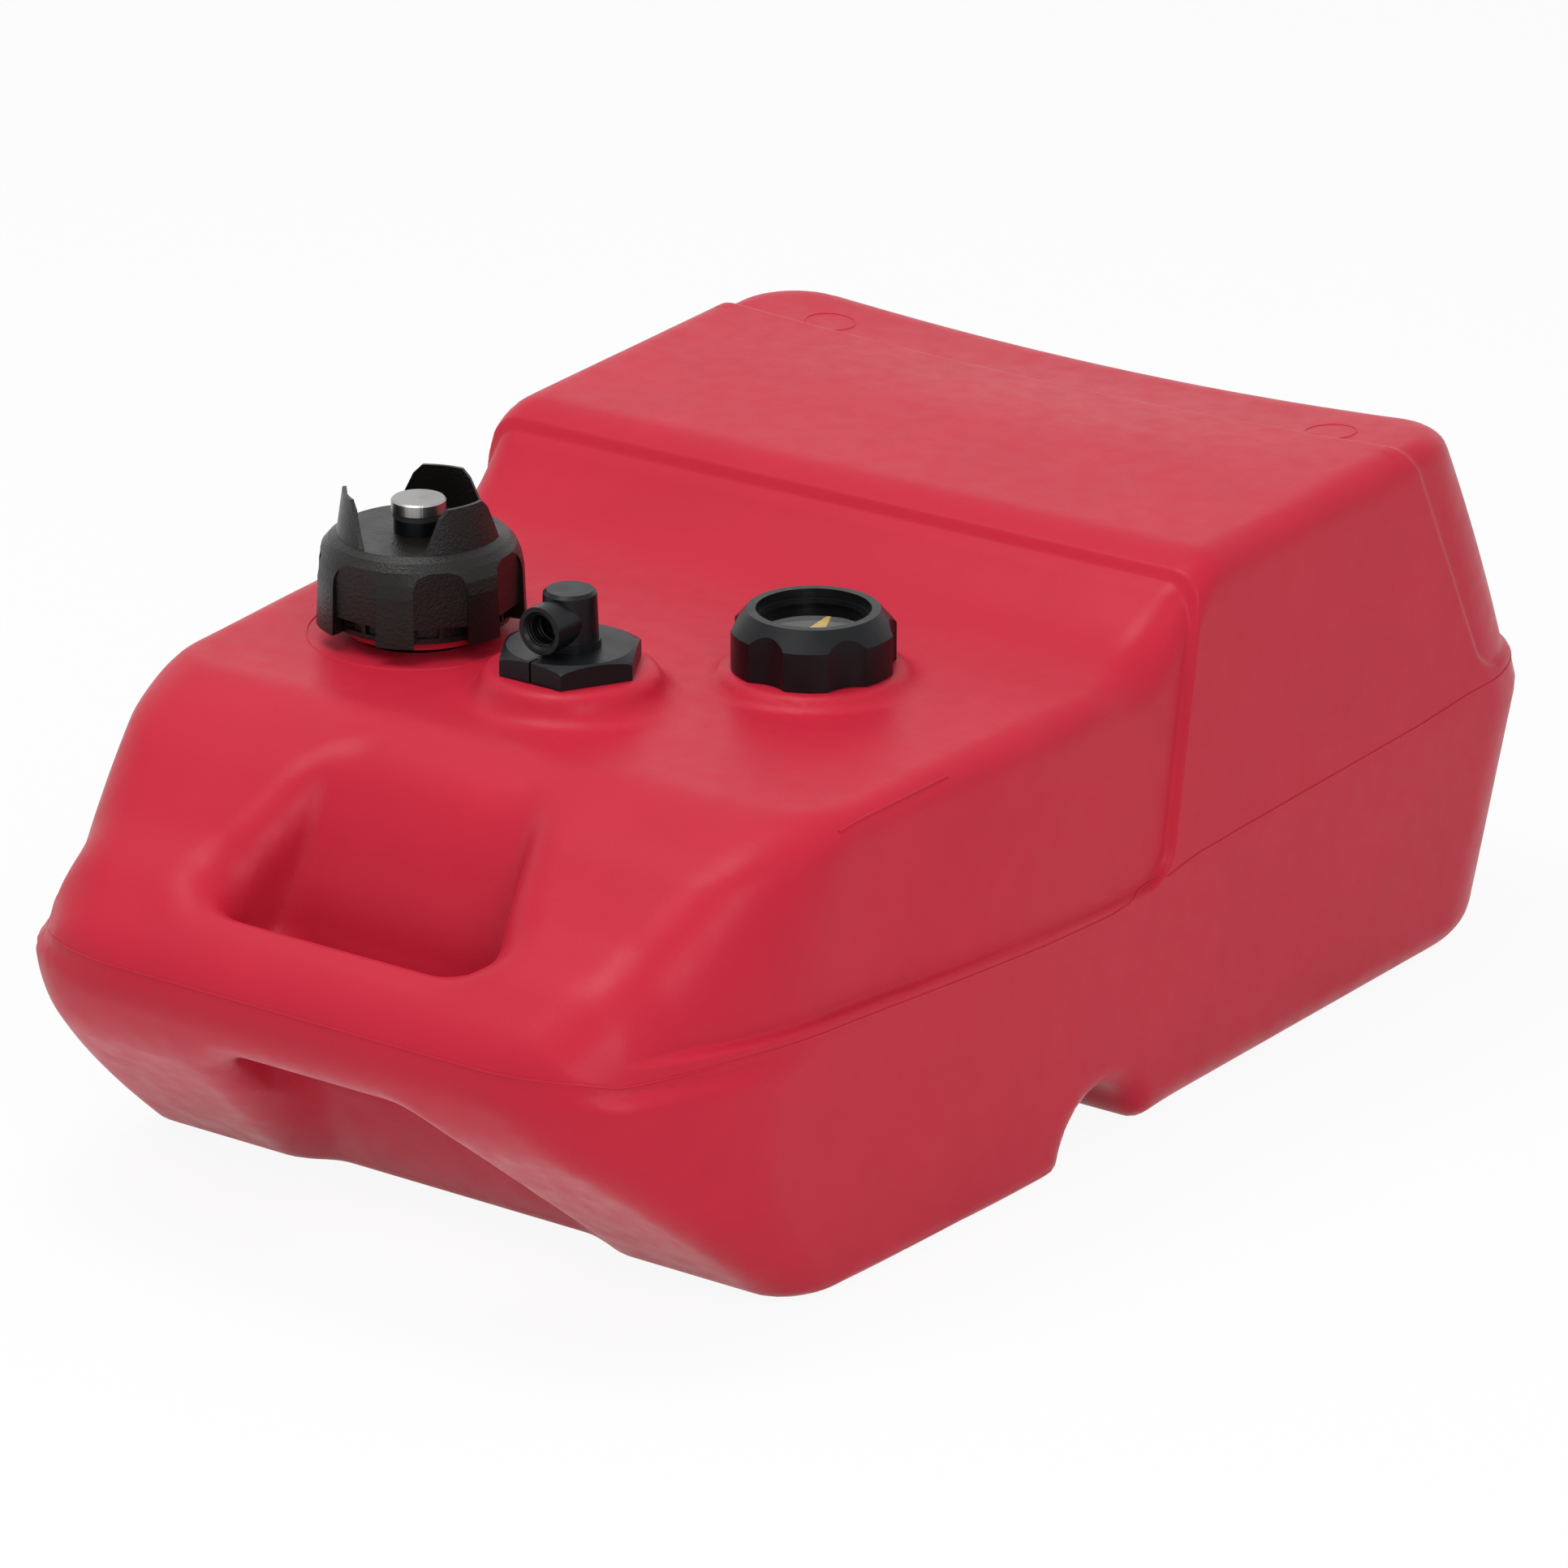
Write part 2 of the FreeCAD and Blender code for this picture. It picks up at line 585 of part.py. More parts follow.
def grip_cutters(grow):
    """The hand pocket, the carrying slot and the recess under the nose, grown by a distance."""
    wall_room = size("wall") * 4
    nose = -size("tank_length") / 2
    ahead = nose - size("grip_front") * 2
    slot_front = nose + size("grip_front") - grow
    slot_back = nose + size("grip_front") + size("grip_gap") + grow
    half = size("grip_half_width") + grow
    floor = size("grip_top") - grow
    roof = size("grip_under") + grow
    corner = 8 + grow
    slot = block_stack([(roof - grow * 2 - 4, half, slot_front, slot_back, corner),
                        (floor + grow * 2 + 4, half, slot_front, slot_back, corner)])
    top = size("deck_height") + wall_room
    deck_back = nose + size("pocket_back_setback") + grow
    lean = (deck_back - slot_back) / (size("deck_height") - size("grip_top"))
    foot_width = size("pocket_foot_half_width")
    narrowing = (foot_width - size("pocket_top_half_width")) / (size("deck_height") - size("grip_top"))
    pocket = block_stack([(floor, foot_width + grow, ahead, slot_back - lean * grow, corner),
                          (top, foot_width + grow - narrowing * (top - floor), ahead,
                           slot_back + lean * (top - size("grip_top")), corner)])
    base_back = nose + size("base_setback") + size("recess_foot") + grow
    reach = size("grip_under")
    recess = block_stack([(roof, half - 4, ahead, slot_back - 1, corner),
                          (-reach * 0.3, size("recess_half_width") * 1.1 + grow, ahead,
                           base_back + (base_back - slot_back) * 0.3, corner)])
    return [slot, pocket, recess]


def channel_cutter(grow):
    """The round-topped cross channel under the base."""
    half = size("channel_width") / 2
    depth = size("channel_depth")
    radius = (half * half + depth * depth) / (2 * depth)
    length = size("tank_length")
    start = Vector(-length / 2, size("channel_place_y"), depth - radius)
    return Part.makeCylinder(radius + grow, length, start, Vector(1, 0, 0))


def upright(radius, low, high, x, y, top_radius=None):
    """A plain upright cylinder or cone between two heights."""
    if top_radius is None:
        return Part.makeCylinder(radius, high - low, Vector(x, y, low))
    return Part.makeCone(radius, top_radius, high - low, Vector(x, y, low))


def tank_shell_shape():
    """The hollow tank with its pads, necks and mouths."""
    wall = size("wall")
    deck = size("deck_height")
    filler = (size("filler_place_x"), size("filler_place_y"))
    outlet = (size("outlet_place_x"), size("outlet_place_y"))
    gauge = (size("gauge_place_x"), size("gauge_place_y"))
    root = deck - wall / 2
    boss_top = deck + size("outlet_boss_height")
    gauge_pad_top = deck + size("gauge_boss_height")
    outer = tank_form(0)
    cavity = tank_form(wall)
    for grow, tools in ((0, grip_cutters(0)), (wall, grip_cutters(wall))):
        for tool in tools + [channel_cutter(grow)]:
            if grow:
                cavity = cavity.cut(tool)
            else:
                outer = outer.cut(tool)
    additions = [
        upright(size("filler_neck_radius"), root, deck + size("filler_neck_height"), *filler),
        upright(size("outlet_boss_radius") + size("boss_spread"), root, boss_top, *outlet,
                size("outlet_boss_radius")),
        upright(size("outlet_neck_radius"), root, boss_top + size("outlet_neck_height"), *outlet),
        upright(size("gauge_boss_radius"), root, gauge_pad_top, *gauge),
        upright(size("gauge_neck_radius"), root, deck + size("gauge_neck_height"), *gauge),
    ]
    for piece in additions:
        outer = outer.fuse(piece)
    shell = outer.cut(cavity)
    reach = size("deck_height") + size("filler_neck_height") * 1.5
    for radius, spot in ((size("filler_bore_radius"), filler), (size("outlet_neck_bore"), outlet),
                         (size("gauge_neck_bore"), gauge)):
        shell = shell.cut(upright(radius, deck - wall * 2, reach, *spot))
    return shell.removeSplitter()


def finished(name, thing):
    """Name a finished piece after its file."""
    thing.Label = name
    nodes.append(thing)
    return thing


nodes = []

# The tank
tank_shell = doc.addObject("Part::Feature", "tank_shell")
tank_shell.Shape = tank_shell_shape()
finished("tank_shell", tank_shell)

# The filler cap: heights are above the skirt's lower edge
CAP = ("filler_place_x", "filler_place_y", "deck_height + cap_lift")
CAP_CEILING = "cap_height - cap_ceiling"
RIM = "filler_neck_height - cap_lift"
INSERT_FLOOR = RIM + " + cap_gasket_thickness"
VENT_TOP = "cap_height + vent_flange_height"

cap_body = turned("cap_body", CAP, [
    ("cap_bore", "0"),
    ("cap_radius", "0"),
    ("cap_radius - 0.7", "cap_shoulder_height"),
    ("cap_radius - 1.5", "cap_shoulder_height + 4.5"),
    ("cap_top_radius + 5.2", "cap_height - 4.4"),
    ("cap_top_radius + 2.8", "cap_height - 1.6"),
    ("cap_top_radius", "cap_height"),
    ("vent_collar_radius", "cap_height"),
    ("vent_collar_radius", CAP_CEILING),
    ("cap_crown_radius", CAP_CEILING),
    ("cap_bore", "cap_crown_height"),
])
half = "scallop_width / 2"
scallop = from_side(cap_body, "Pocket", "scallop", "scallop_floor_radius", [
    (f"-{half}", "-1"),
    (half, "-1"),
    (half, "scallop_top - scallop_corner"),
    (f"{half} - scallop_corner * 0.3", "scallop_top - scallop_corner * 0.3"),
    (f"{half} - scallop_corner", "scallop_top"),
    (f"scallop_corner - {half}", "scallop_top"),
    (f"scallop_corner * 0.3 - {half}", "scallop_top - scallop_corner * 0.3"),
    (f"-{half}", "scallop_top - scallop_corner"),
], "cap_radius")
polar(cap_body, scallop, "scallop_count", "scallops")
notch = from_side(cap_body, "Pocket", "notch", "cap_bore - 2", [
    (f"-{half}", "-1"),
    (half, "-1"),
    (half, "scallop_sill"),
    (f"-{half}", "scallop_sill"),
], "cap_radius")
polar(cap_body, notch, "scallop_count", "notches")
turn_by(cap_body, "scallop_turn")
wing_ring = turned("wing_ring", CAP, [
    ("cap_top_radius - wing_thickness", "cap_height - wing_root"),
    ("cap_top_radius", "cap_height - wing_root"),
    ("cap_top_radius - wing_lean", "cap_height + wing_height"),
    ("cap_top_radius - wing_lean - wing_thickness", "cap_height + wing_height"),
])
wing_star = doc.addObject("PartDesign::Body", "wing_star")
wing = from_side(wing_star, "Pad", "wing", "0", [
    ("-wing_base_width / 2", "cap_height - wing_root * 2"),
    ("wing_base_width / 2", "cap_height - wing_root * 2"),
    ("wing_tip_width / 2 + 1", "cap_height + wing_height - 3"),
    ("wing_tip_width / 2 - 2", "cap_height + wing_height"),
    ("2 - wing_tip_width / 2", "cap_height + wing_height"),
    ("-wing_tip_width / 2 - 1", "cap_height + wing_height - 3"),
], "cap_radius")
polar(wing_star, wing, "wing_count", "wings")
place(wing_star, *CAP)
turn_by(wing_star, "wing_turn + 90")
wings = common("cap_wings", wing_ring, wing_star)
finished("cap_shell", fuse("cap_shell", cap_body, wings))

insert = turned("cap_insert", CAP, [
    ("filler_neck_radius + thread_room", "insert_lift"),
    ("insert_radius", "insert_lift"),
    ("insert_radius", INSERT_FLOOR + " + insert_ceiling"),
    ("vent_hub_radius", INSERT_FLOOR + " + insert_ceiling"),
    ("vent_hub_radius", CAP_CEILING),
    ("vent_collar_radius", CAP_CEILING),
    ("vent_collar_radius", INSERT_FLOOR),
    ("filler_neck_radius + thread_room", INSERT_FLOOR),
])
rib = from_side(insert, "Pad", "rib", "insert_radius - 0.5", [
    ("-insert_rib_width / 2", "insert_lift"),
    ("insert_rib_width / 2", "insert_lift"),
    ("insert_rib_width / 2", INSERT_FLOOR + " + insert_ceiling"),
    ("-insert_rib_width / 2", INSERT_FLOOR + " + insert_ceiling"),
], "cap_bore - insert_rib_gap - insert_radius + 0.5")
polar(insert, rib, "insert_rib_count", "ribs")
finished("cap_insert", insert)

finished("cap_gasket", turned("cap_gasket", CAP, [
    ("filler_bore_radius", RIM),
    ("filler_neck_radius + thread_room - cap_gasket_gap", RIM),
    ("filler_neck_radius + thread_room - cap_gasket_gap", INSERT_FLOOR),
    ("filler_bore_radius", INSERT_FLOOR),
]))

STEM_HOLE = "vent_stem_radius + running_gap"
finished("vent_collar", turned("vent_collar", CAP, [
    (STEM_HOLE, INSERT_FLOOR),
    ("vent_collar_radius", INSERT_FLOOR),
    ("vent_collar_radius", "cap_height"),
    ("vent_flange_radius", "cap_height"),
    ("vent_flange_radius", VENT_TOP),
    (STEM_HOLE, VENT_TOP),
]))
finished("vent_seal", turned("vent_seal", CAP, [
    (STEM_HOLE, VENT_TOP),
    ("vent_seal_radius", VENT_TOP),
    ("vent_seal_radius", VENT_TOP + " + vent_seal_thickness"),
    (STEM_HOLE, VENT_TOP + " + vent_seal_thickness"),
]))
KNOB_FOOT = VENT_TOP + " + vent_seal_thickness"
STEM_END = INSERT_FLOOR + " - vent_travel - vent_end_thickness - 0.5"
finished("vent_stem", turned("vent_stem", CAP, [
    ("0", STEM_END),
    ("vent_end_radius", STEM_END),
    ("vent_end_radius", STEM_END + " + vent_end_thickness"),
    ("vent_stem_radius", STEM_END + " + vent_end_thickness"),
    ("vent_stem_radius", KNOB_FOOT + " + vent_socket_depth"),
    ("0", KNOB_FOOT + " + vent_socket_depth"),
]))
finished("vent_knob", turned("vent_knob", CAP, [
    ("vent_stem_radius", KNOB_FOOT),
    ("vent_knob_radius - 0.5", KNOB_FOOT),
    ("vent_knob_radius", KNOB_FOOT + " + 0.5"),
    ("vent_knob_radius", KNOB_FOOT + " + vent_knob_height - 0.6"),
    ("vent_knob_radius - 0.6", KNOB_FOOT + " + vent_knob_height"),
    ("0", KNOB_FOOT + " + vent_knob_height"),
    ("0", KNOB_FOOT + " + vent_socket_depth"),
    ("vent_stem_radius", KNOB_FOOT + " + vent_socket_depth"),
]))

# The outlet: heights are above the ground
OUTLET = ("outlet_place_x", "outlet_place_y", "0")
NECK_RIM = "deck_height + outlet_boss_height + outlet_neck_height"
HOLDER_FOOT = NECK_RIM + " + outlet_gasket_thickness"
HOLDER_TOP = HOLDER_FOOT + " + pickup_flange_thickness"
NUT_FOOT = "deck_height + outlet_boss_height + nut_gap"
NUT_TOP = NUT_FOOT + " + nut_height"
ELBOW_FOOT = HOLDER_TOP + " + running_gap"
FLANGE_TOP = NUT_TOP + " - nut_lip - running_gap"
SPIGOT_FOOT = ELBOW_FOOT + " - elbow_spigot_length"
BRANCH_Z = NUT_TOP + " + branch_height"
ELBOW_TOP = NUT_TOP + " + elbow_height"
SHOULDER_TOP = SPIGOT_FOOT + " - spigot_end_room"
TUBE_TOP = SHOULDER_TOP + " - pickup_shoulder"

finished("outlet_gasket", turned("outlet_gasket", OUTLET, [
    ("outlet_neck_bore", NECK_RIM),
    ("outlet_neck_radius - 0.2", NECK_RIM),
    ("outlet_neck_radius - 0.2", HOLDER_FOOT),
    ("outlet_neck_bore", HOLDER_FOOT),
]))
SEAL_SEAT = "elbow_spigot_radius + seal_ring_radius * 2 + running_gap"
SEAL_FLOOR = HOLDER_TOP + " - seal_ring_radius * 2 - running_gap"
finished("pickup_holder", turned("pickup_holder", OUTLET, [
    ("pickup_tube_radius", HOLDER_FOOT + " - pickup_socket_length"),
    ("pickup_socket_radius", HOLDER_FOOT + " - pickup_socket_length"),
    ("pickup_socket_radius", HOLDER_FOOT),
    ("outlet_neck_radius - 0.2", HOLDER_FOOT),
    ("outlet_neck_radius - 0.2", HOLDER_TOP),
    (SEAL_SEAT, HOLDER_TOP),
    (SEAL_SEAT, SEAL_FLOOR),
    ("elbow_spigot_radius + running_gap", SEAL_FLOOR),
    ("elbow_spigot_radius + running_gap", SHOULDER_TOP),
    ("pickup_tube_bore", SHOULDER_TOP),
    ("pickup_tube_bore", TUBE_TOP),
    ("pickup_tube_radius", TUBE_TOP),
]))
elbow_body = turned("elbow_body", OUTLET, [
    ("0", SPIGOT_FOOT),
    ("elbow_spigot_radius", SPIGOT_FOOT),
    ("elbow_spigot_radius", ELBOW_FOOT),
    ("elbow_flange_radius", ELBOW_FOOT),
    ("elbow_flange_radius", FLANGE_TOP),
    ("elbow_collar_radius", FLANGE_TOP),
    ("elbow_collar_radius", NUT_TOP + " + elbow_collar_height"),
    ("elbow_root_radius", NUT_TOP + " + elbow_collar_height"),
    ("elbow_top_radius", ELBOW_TOP + " - 1.2"),
    ("elbow_top_radius - 1.2", ELBOW_TOP),
    ("0", ELBOW_TOP),
])
TOWARD_NOSE = (Vector(1, 0, 0), 90)
ELBOW_AXIS = ("outlet_place_x", "outlet_place_y", BRANCH_Z)
MOUTH_Y = "outlet_place_y - branch_reach"
branch = primitive("Cylinder", "branch", ELBOW_AXIS, TOWARD_NOSE, Radius="branch_radius", Height="branch_reach")
elbow_solid = fuse("elbow_solid", elbow_body, branch)
riser = primitive("Cylinder", "riser", ("outlet_place_x", "outlet_place_y", SPIGOT_FOOT + " - 1"),
                  Radius="elbow_passage_radius", Height="elbow_spigot_length + 1 + (" + BRANCH_Z + ") - (" +
                  ELBOW_FOOT + ")")
side_passage = primitive("Cylinder", "side_passage", ELBOW_AXIS, TOWARD_NOSE,
                         Radius="elbow_passage_radius", Height="branch_reach - 1")
bore = primitive("Cylinder", "bore", ("outlet_place_x", MOUTH_Y + " + branch_bore_length", BRANCH_Z),
                 TOWARD_NOSE, Radius="branch_bore", Height="branch_bore_length + 1")
mouth = primitive("Cone", "mouth", ("outlet_place_x", MOUTH_Y + " + branch_chamfer", BRANCH_Z),
                  TOWARD_NOSE, Radius1="branch_bore", Radius2="branch_bore + branch_chamfer * 2",
                  Height="branch_chamfer * 2")
passages = fuse("passages", riser, side_passage, bore, mouth)
finished("outlet_elbow", cut("outlet_elbow", elbow_solid, passages))
finished("elbow_o_ring", primitive(
    "Torus", "elbow_o_ring", ("outlet_place_x", "outlet_place_y", HOLDER_TOP + " - seal_ring_radius"),
    Radius1="elbow_spigot_radius + seal_ring_radius", Radius2="seal_ring_radius"))

hexagon = primitive("Prism", "hexagon", ("outlet_place_x", "outlet_place_y", NUT_FOOT),
                    Circumradius="nut_radius", Height="nut_height")
hexagon.Polygon = 6
nut_form = turned("nut_form", OUTLET, [
    ("outlet_neck_radius", NUT_FOOT),
    ("nut_radius + 1", NUT_FOOT),
    ("nut_radius + 1", NUT_TOP + " - nut_rounding * 1.6"),
    ("nut_radius - nut_rounding * 0.4", NUT_TOP + " - nut_rounding * 0.7"),
    ("nut_radius - nut_rounding * 2", NUT_TOP),
    ("elbow_collar_radius + running_gap", NUT_TOP),
    ("elbow_collar_radius + running_gap", NUT_TOP + " - nut_lip"),
    ("outlet_neck_radius", NUT_TOP + " - nut_lip"),
])
nut_solid = common("nut_solid", nut_form, hexagon)
slit = primitive("Box", "slit", ("outlet_place_x - nut_slit / 2", "outlet_place_y - nut_radius", NUT_FOOT + " - 1"),
                 Length="nut_slit", Width="nut_radius - outlet_neck_radius - 1", Height="nut_height + 2")
finished("outlet_nut", cut("outlet_nut", nut_solid, slit))

STRAINER_FOOT = "wall + strainer_floor_gap"
TUBE_FOOT = STRAINER_FOOT + " + strainer_wall + 4"
finished("pickup_tube", tube("pickup_tube", "pickup_tube_radius", "pickup_tube_bore", TUBE_FOOT, TUBE_TOP,
                             *OUTLET[:2]))
strainer = turned("pickup_strainer", OUTLET, [
    ("0", STRAINER_FOOT),
    ("strainer_radius", STRAINER_FOOT),
    ("strainer_radius", STRAINER_FOOT + " + strainer_height"),
    ("pickup_tube_radius", STRAINER_FOOT + " + strainer_height"),
    ("pickup_tube_radius", STRAINER_FOOT + " + strainer_height - strainer_wall * 2"),
    ("strainer_radius - strainer_wall", STRAINER_FOOT + " + strainer_height - strainer_wall * 2"),
    ("strainer_radius - strainer_wall", STRAINER_FOOT + " + strainer_wall"),
    ("0", STRAINER_FOOT + " + strainer_wall"),
])
window = from_side(strainer, "Pocket", "window", "strainer_radius - strainer_wall - 1", [
    ("-strainer_window_width / 2", STRAINER_FOOT + " + strainer_window_margin"),
    ("strainer_window_width / 2", STRAINER_FOOT + " + strainer_window_margin"),
    ("strainer_window_width / 2", STRAINER_FOOT + " + strainer_height - strainer_window_margin"),
    ("-strainer_window_width / 2", STRAINER_FOOT + " + strainer_height - strainer_window_margin"),
], "strainer_radius")
polar(strainer, window, "strainer_window_count", "windows")
finished("pickup_strainer", strainer)

# The gauge: heights are above the ground
GAUGE = ("gauge_place_x", "gauge_place_y", "0")
RING_FOOT = "deck_height + gauge_boss_height + ring_lift"
RING_TOP = RING_FOOT + " + ring_height"
LENS_TOP = RING_TOP + " - lens_depth"
LENS_FOOT = LENS_TOP + " - lens_thickness"
GAUGE_RIM = "deck_height + gauge_neck_height"
FRAME_FOOT = GAUGE_RIM + " + gauge_gasket_thickness"
FRAME_TOP = FRAME_FOOT + " + frame_flange_thickness"
DIAL_TOP = FRAME_TOP + " + dial_thickness"
POINTER_FOOT = DIAL_TOP + " + pointer_gap"
POINTER_TOP = POINTER_FOOT + " + pointer_thickness"
FOOT_PLATE = "wall + foot_floor_gap"
FOOT_TOP = FOOT_PLATE + " + foot_thickness"
FLOAT_FOOT = FOOT_TOP + " + float_rest_gap"
SPINDLE_HOLE = "spindle_radius + running_gap"

ring = turned("gauge_ring", GAUGE, [
    ("gauge_neck_radius", RING_FOOT),
    ("ring_radius", RING_FOOT),
    ("ring_radius", RING_FOOT + " + ring_side_height"),
    ("ring_top_radius", RING_TOP),
    ("ring_mouth_radius", RING_TOP),
    ("ring_mouth_radius", RING_TOP + " - ring_step_depth"),
    ("ring_step_radius", RING_TOP + " - ring_step_depth"),
    ("ring_step_radius", LENS_TOP),
    ("gauge_neck_radius", LENS_TOP),
])
hollow_radius = "(ring_hollow_width ^ 2 / 4 + ring_hollow_depth ^ 2) / (ring_hollow_depth * 2)"
hollow = drill(ring, "hollow", "ring_radius - ring_hollow_depth + " + hollow_radius, hollow_radius)
polar(ring, hollow, "ring_lobe_count", "hollows")
finished("gauge_ring", ring)
finished("gauge_lens", primitive("Cylinder", "gauge_lens", ("gauge_place_x", "gauge_place_y", LENS_FOOT),
                                 Radius="lens_radius", Height="lens_thickness"))
finished("gauge_gasket", tube("gauge_gasket", "frame_cup_radius", "gauge_neck_bore", GAUGE_RIM, FRAME_FOOT,
                              *GAUGE[:2]))
frame_top = turned("frame_top", GAUGE, [
    (SPINDLE_HOLE, FRAME_FOOT),
    ("frame_cup_radius", FRAME_FOOT),
    ("frame_cup_radius", LENS_FOOT),
    ("frame_cup_radius - frame_cup_wall", LENS_FOOT),
    ("frame_cup_radius - frame_cup_wall", FRAME_TOP),
    (SPINDLE_HOLE, FRAME_TOP),
])
rails = []
for name, middle in (("front_rail", "gauge_place_y - rail_reach"), ("rear_rail", "gauge_place_y + rail_reach")):
    rails.append(primitive(
        "Box", name, ("gauge_place_x - rail_width / 2", middle + " - rail_thickness / 2", FOOT_TOP),
        Length="rail_width", Width="rail_thickness",
        Height="(" + FRAME_FOOT + ") - (" + FOOT_TOP + ") + frame_flange_thickness / 2"))
finished("gauge_frame", fuse("gauge_frame", frame_top, *rails))
finished("gauge_foot", tube("gauge_foot", "foot_radius", SPINDLE_HOLE, FOOT_PLATE, FOOT_TOP, *GAUGE[:2]))
finished("gauge_dial", tube("gauge_dial", "dial_radius", "dial_hole", FRAME_TOP, DIAL_TOP, *GAUGE[:2]))

needle = flat("needle", ("gauge_place_x", "gauge_place_y", POINTER_FOOT), [
    ("0", "-pointer_width / 2"),
    ("pointer_reach", "-pointer_tip_width / 2"),
    ("pointer_reach", "pointer_tip_width / 2"),
    ("0", "pointer_width / 2"),
], "pointer_thickness")
turn_by(needle, "pointer_turn")
hub = primitive("Cylinder", "hub", ("gauge_place_x", "gauge_place_y", POINTER_FOOT),
                Radius="pointer_hub_radius", Height="pointer_thickness")
pointer_solid = fuse("pointer_solid", needle, hub)
pointer_hole = primitive("Cylinder", "pointer_hole", ("gauge_place_x", "gauge_place_y", POINTER_FOOT + " - 1"),
                         Radius="spindle_radius", Height="pointer_thickness + 2")
finished("gauge_pointer", cut("gauge_pointer", pointer_solid, pointer_hole))


def strip_blade_shape():
    """The flat strip, twisted so that the rising float turns the pointer."""
    low = evaluate(FOOT_TOP) + size("float_rest_gap") / 4
    high = evaluate(FRAME_FOOT) - size("spindle_drop")
    rest = evaluate(FLOAT_FOOT) + size("driver_thickness") / 2
    rate = POINTER_SWEEP / size("float_travel")
    half_x = size("strip_width") / 2
    half_y = size("strip_thickness") / 2
    wires = []
    for step in range(STRIP_SECTIONS + 1):
        z = low + (high - low) * step / STRIP_SECTIONS
        turn = Rotation(Vector(0, 0, 1), rate * (z - rest))
        corners = [turn.multVec(Vector(x, y, 0)) + Vector(0, 0, z)
                   for x, y in ((-half_x, -half_y), (half_x, -half_y), (half_x, half_y), (-half_x, half_y))]
        wires.append(Part.makePolygon(corners + corners[:1]))
    blade = stack(wires)
    blade.translate(Vector(size("gauge_place_x"), size("gauge_place_y"), 0))
    return blade


strip_blade = doc.addObject("Part::Feature", "strip_blade")
strip_blade.Shape = strip_blade_shape()
STRIP_TOP = FRAME_FOOT + " - spindle_drop"
spindle = primitive("Cylinder", "spindle", ("gauge_place_x", "gauge_place_y", STRIP_TOP + " - 1"),
                    Radius="spindle_radius", Height="(" + POINTER_TOP + ") - (" + STRIP_TOP + ") + 1")
pin = primitive("Cylinder", "pin", ("gauge_place_x", "gauge_place_y", FOOT_PLATE + " + 0.4"),
                Radius="spindle_radius", Height="foot_thickness - 0.4 + float_rest_gap / 2")
finished("twist_strip", fuse("twist_strip", strip_blade, spindle, pin))

GROOVE_DEPTH = "rail_thickness + rail_gap * 2"
float_body = turned("float_body", GAUGE, [
    ("driver_radius", FLOAT_FOOT),
    ("float_radius - 1", FLOAT_FOOT),
    ("float_radius", FLOAT_FOOT + " + 1"),
    ("float_radius", FLOAT_FOOT + " + float_height - 1"),
    ("float_radius - 1", FLOAT_FOOT + " + float_height"),
    ("float_bore", FLOAT_FOOT + " + float_height"),
    ("float_bore", FLOAT_FOOT + " + driver_thickness"),
    ("driver_radius", FLOAT_FOOT + " + driver_thickness"),
])
grooves = []
for name, middle in (("front_groove", "gauge_place_y - rail_reach"), ("rear_groove", "gauge_place_y + rail_reach")):
    grooves.append(primitive(
        "Box", name, ("gauge_place_x - rail_width / 2 - rail_gap",
                      middle + " - (" + GROOVE_DEPTH + ") / 2", FLOAT_FOOT + " - 1"),
        Length="rail_width + rail_gap * 2", Width=GROOVE_DEPTH, Height="float_height + 2"))
finished("gauge_float", cut("gauge_float", float_body, fuse("grooves", *grooves)))

driver_disc = primitive("Cylinder", "driver_disc", ("gauge_place_x", "gauge_place_y", FLOAT_FOOT),
                        Radius="driver_radius", Height="driver_thickness")
driver_slot = primitive("Box", "driver_slot", ("gauge_place_x - strip_width / 2 - driver_gap",
                                               "gauge_place_y - strip_thickness / 2 - driver_gap",
                                               FLOAT_FOOT + " - 1"),
                        Length="strip_width + driver_gap * 2", Width="strip_thickness + driver_gap * 2",
                        Height="driver_thickness + 2")
finished("float_driver", cut("float_driver", driver_disc, driver_slot))

doc.recompute()
for thing in doc.Objects:
    if "Invalid" in thing.State or "Error" in thing.State:
        raise RuntimeError(f"{thing.Name}: {thing.State}")
os.makedirs("parts", exist_ok=True)
for thing in nodes:
    shape = thing.Shape
    if shape.isNull() or not shape.isValid() or len(shape.Solids) != 1:
        raise RuntimeError(f"{thing.Label}: not one valid solid")
    shape.exportStep(f"parts/{thing.Label}.step")
    box = shape.BoundBox
    print(f"{thing.Label:18s} {shape.Volume / 1000:9.3f} cm3  z {box.ZMin:7.2f} {box.ZMax:7.2f}  faces {len(shape.Faces)}")
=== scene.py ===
"""Dressed model of a portable fuel tank for an outboard motor."""
import math

import bpy
import numpy as np
from mathutils import Matrix, Vector


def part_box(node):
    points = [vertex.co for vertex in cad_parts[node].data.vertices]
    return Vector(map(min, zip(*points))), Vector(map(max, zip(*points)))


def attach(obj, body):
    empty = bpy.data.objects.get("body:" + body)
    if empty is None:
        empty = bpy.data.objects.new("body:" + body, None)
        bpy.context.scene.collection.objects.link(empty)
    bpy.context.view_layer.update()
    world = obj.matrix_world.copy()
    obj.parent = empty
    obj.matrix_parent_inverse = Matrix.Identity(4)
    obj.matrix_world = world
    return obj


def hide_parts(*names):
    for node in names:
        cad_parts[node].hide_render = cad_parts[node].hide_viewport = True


bl_info = {
    "name": "Outboard fuel tank",
    "version": (1, 0, 0),
    "blender": (4, 5, 0),
    "location": "3D View > Sidebar > Fuel tank",
    "description": "Dresses the packed fuel tank: its moulded skin, cap, outlet, gauge and stage",
    "category": "Object",
}

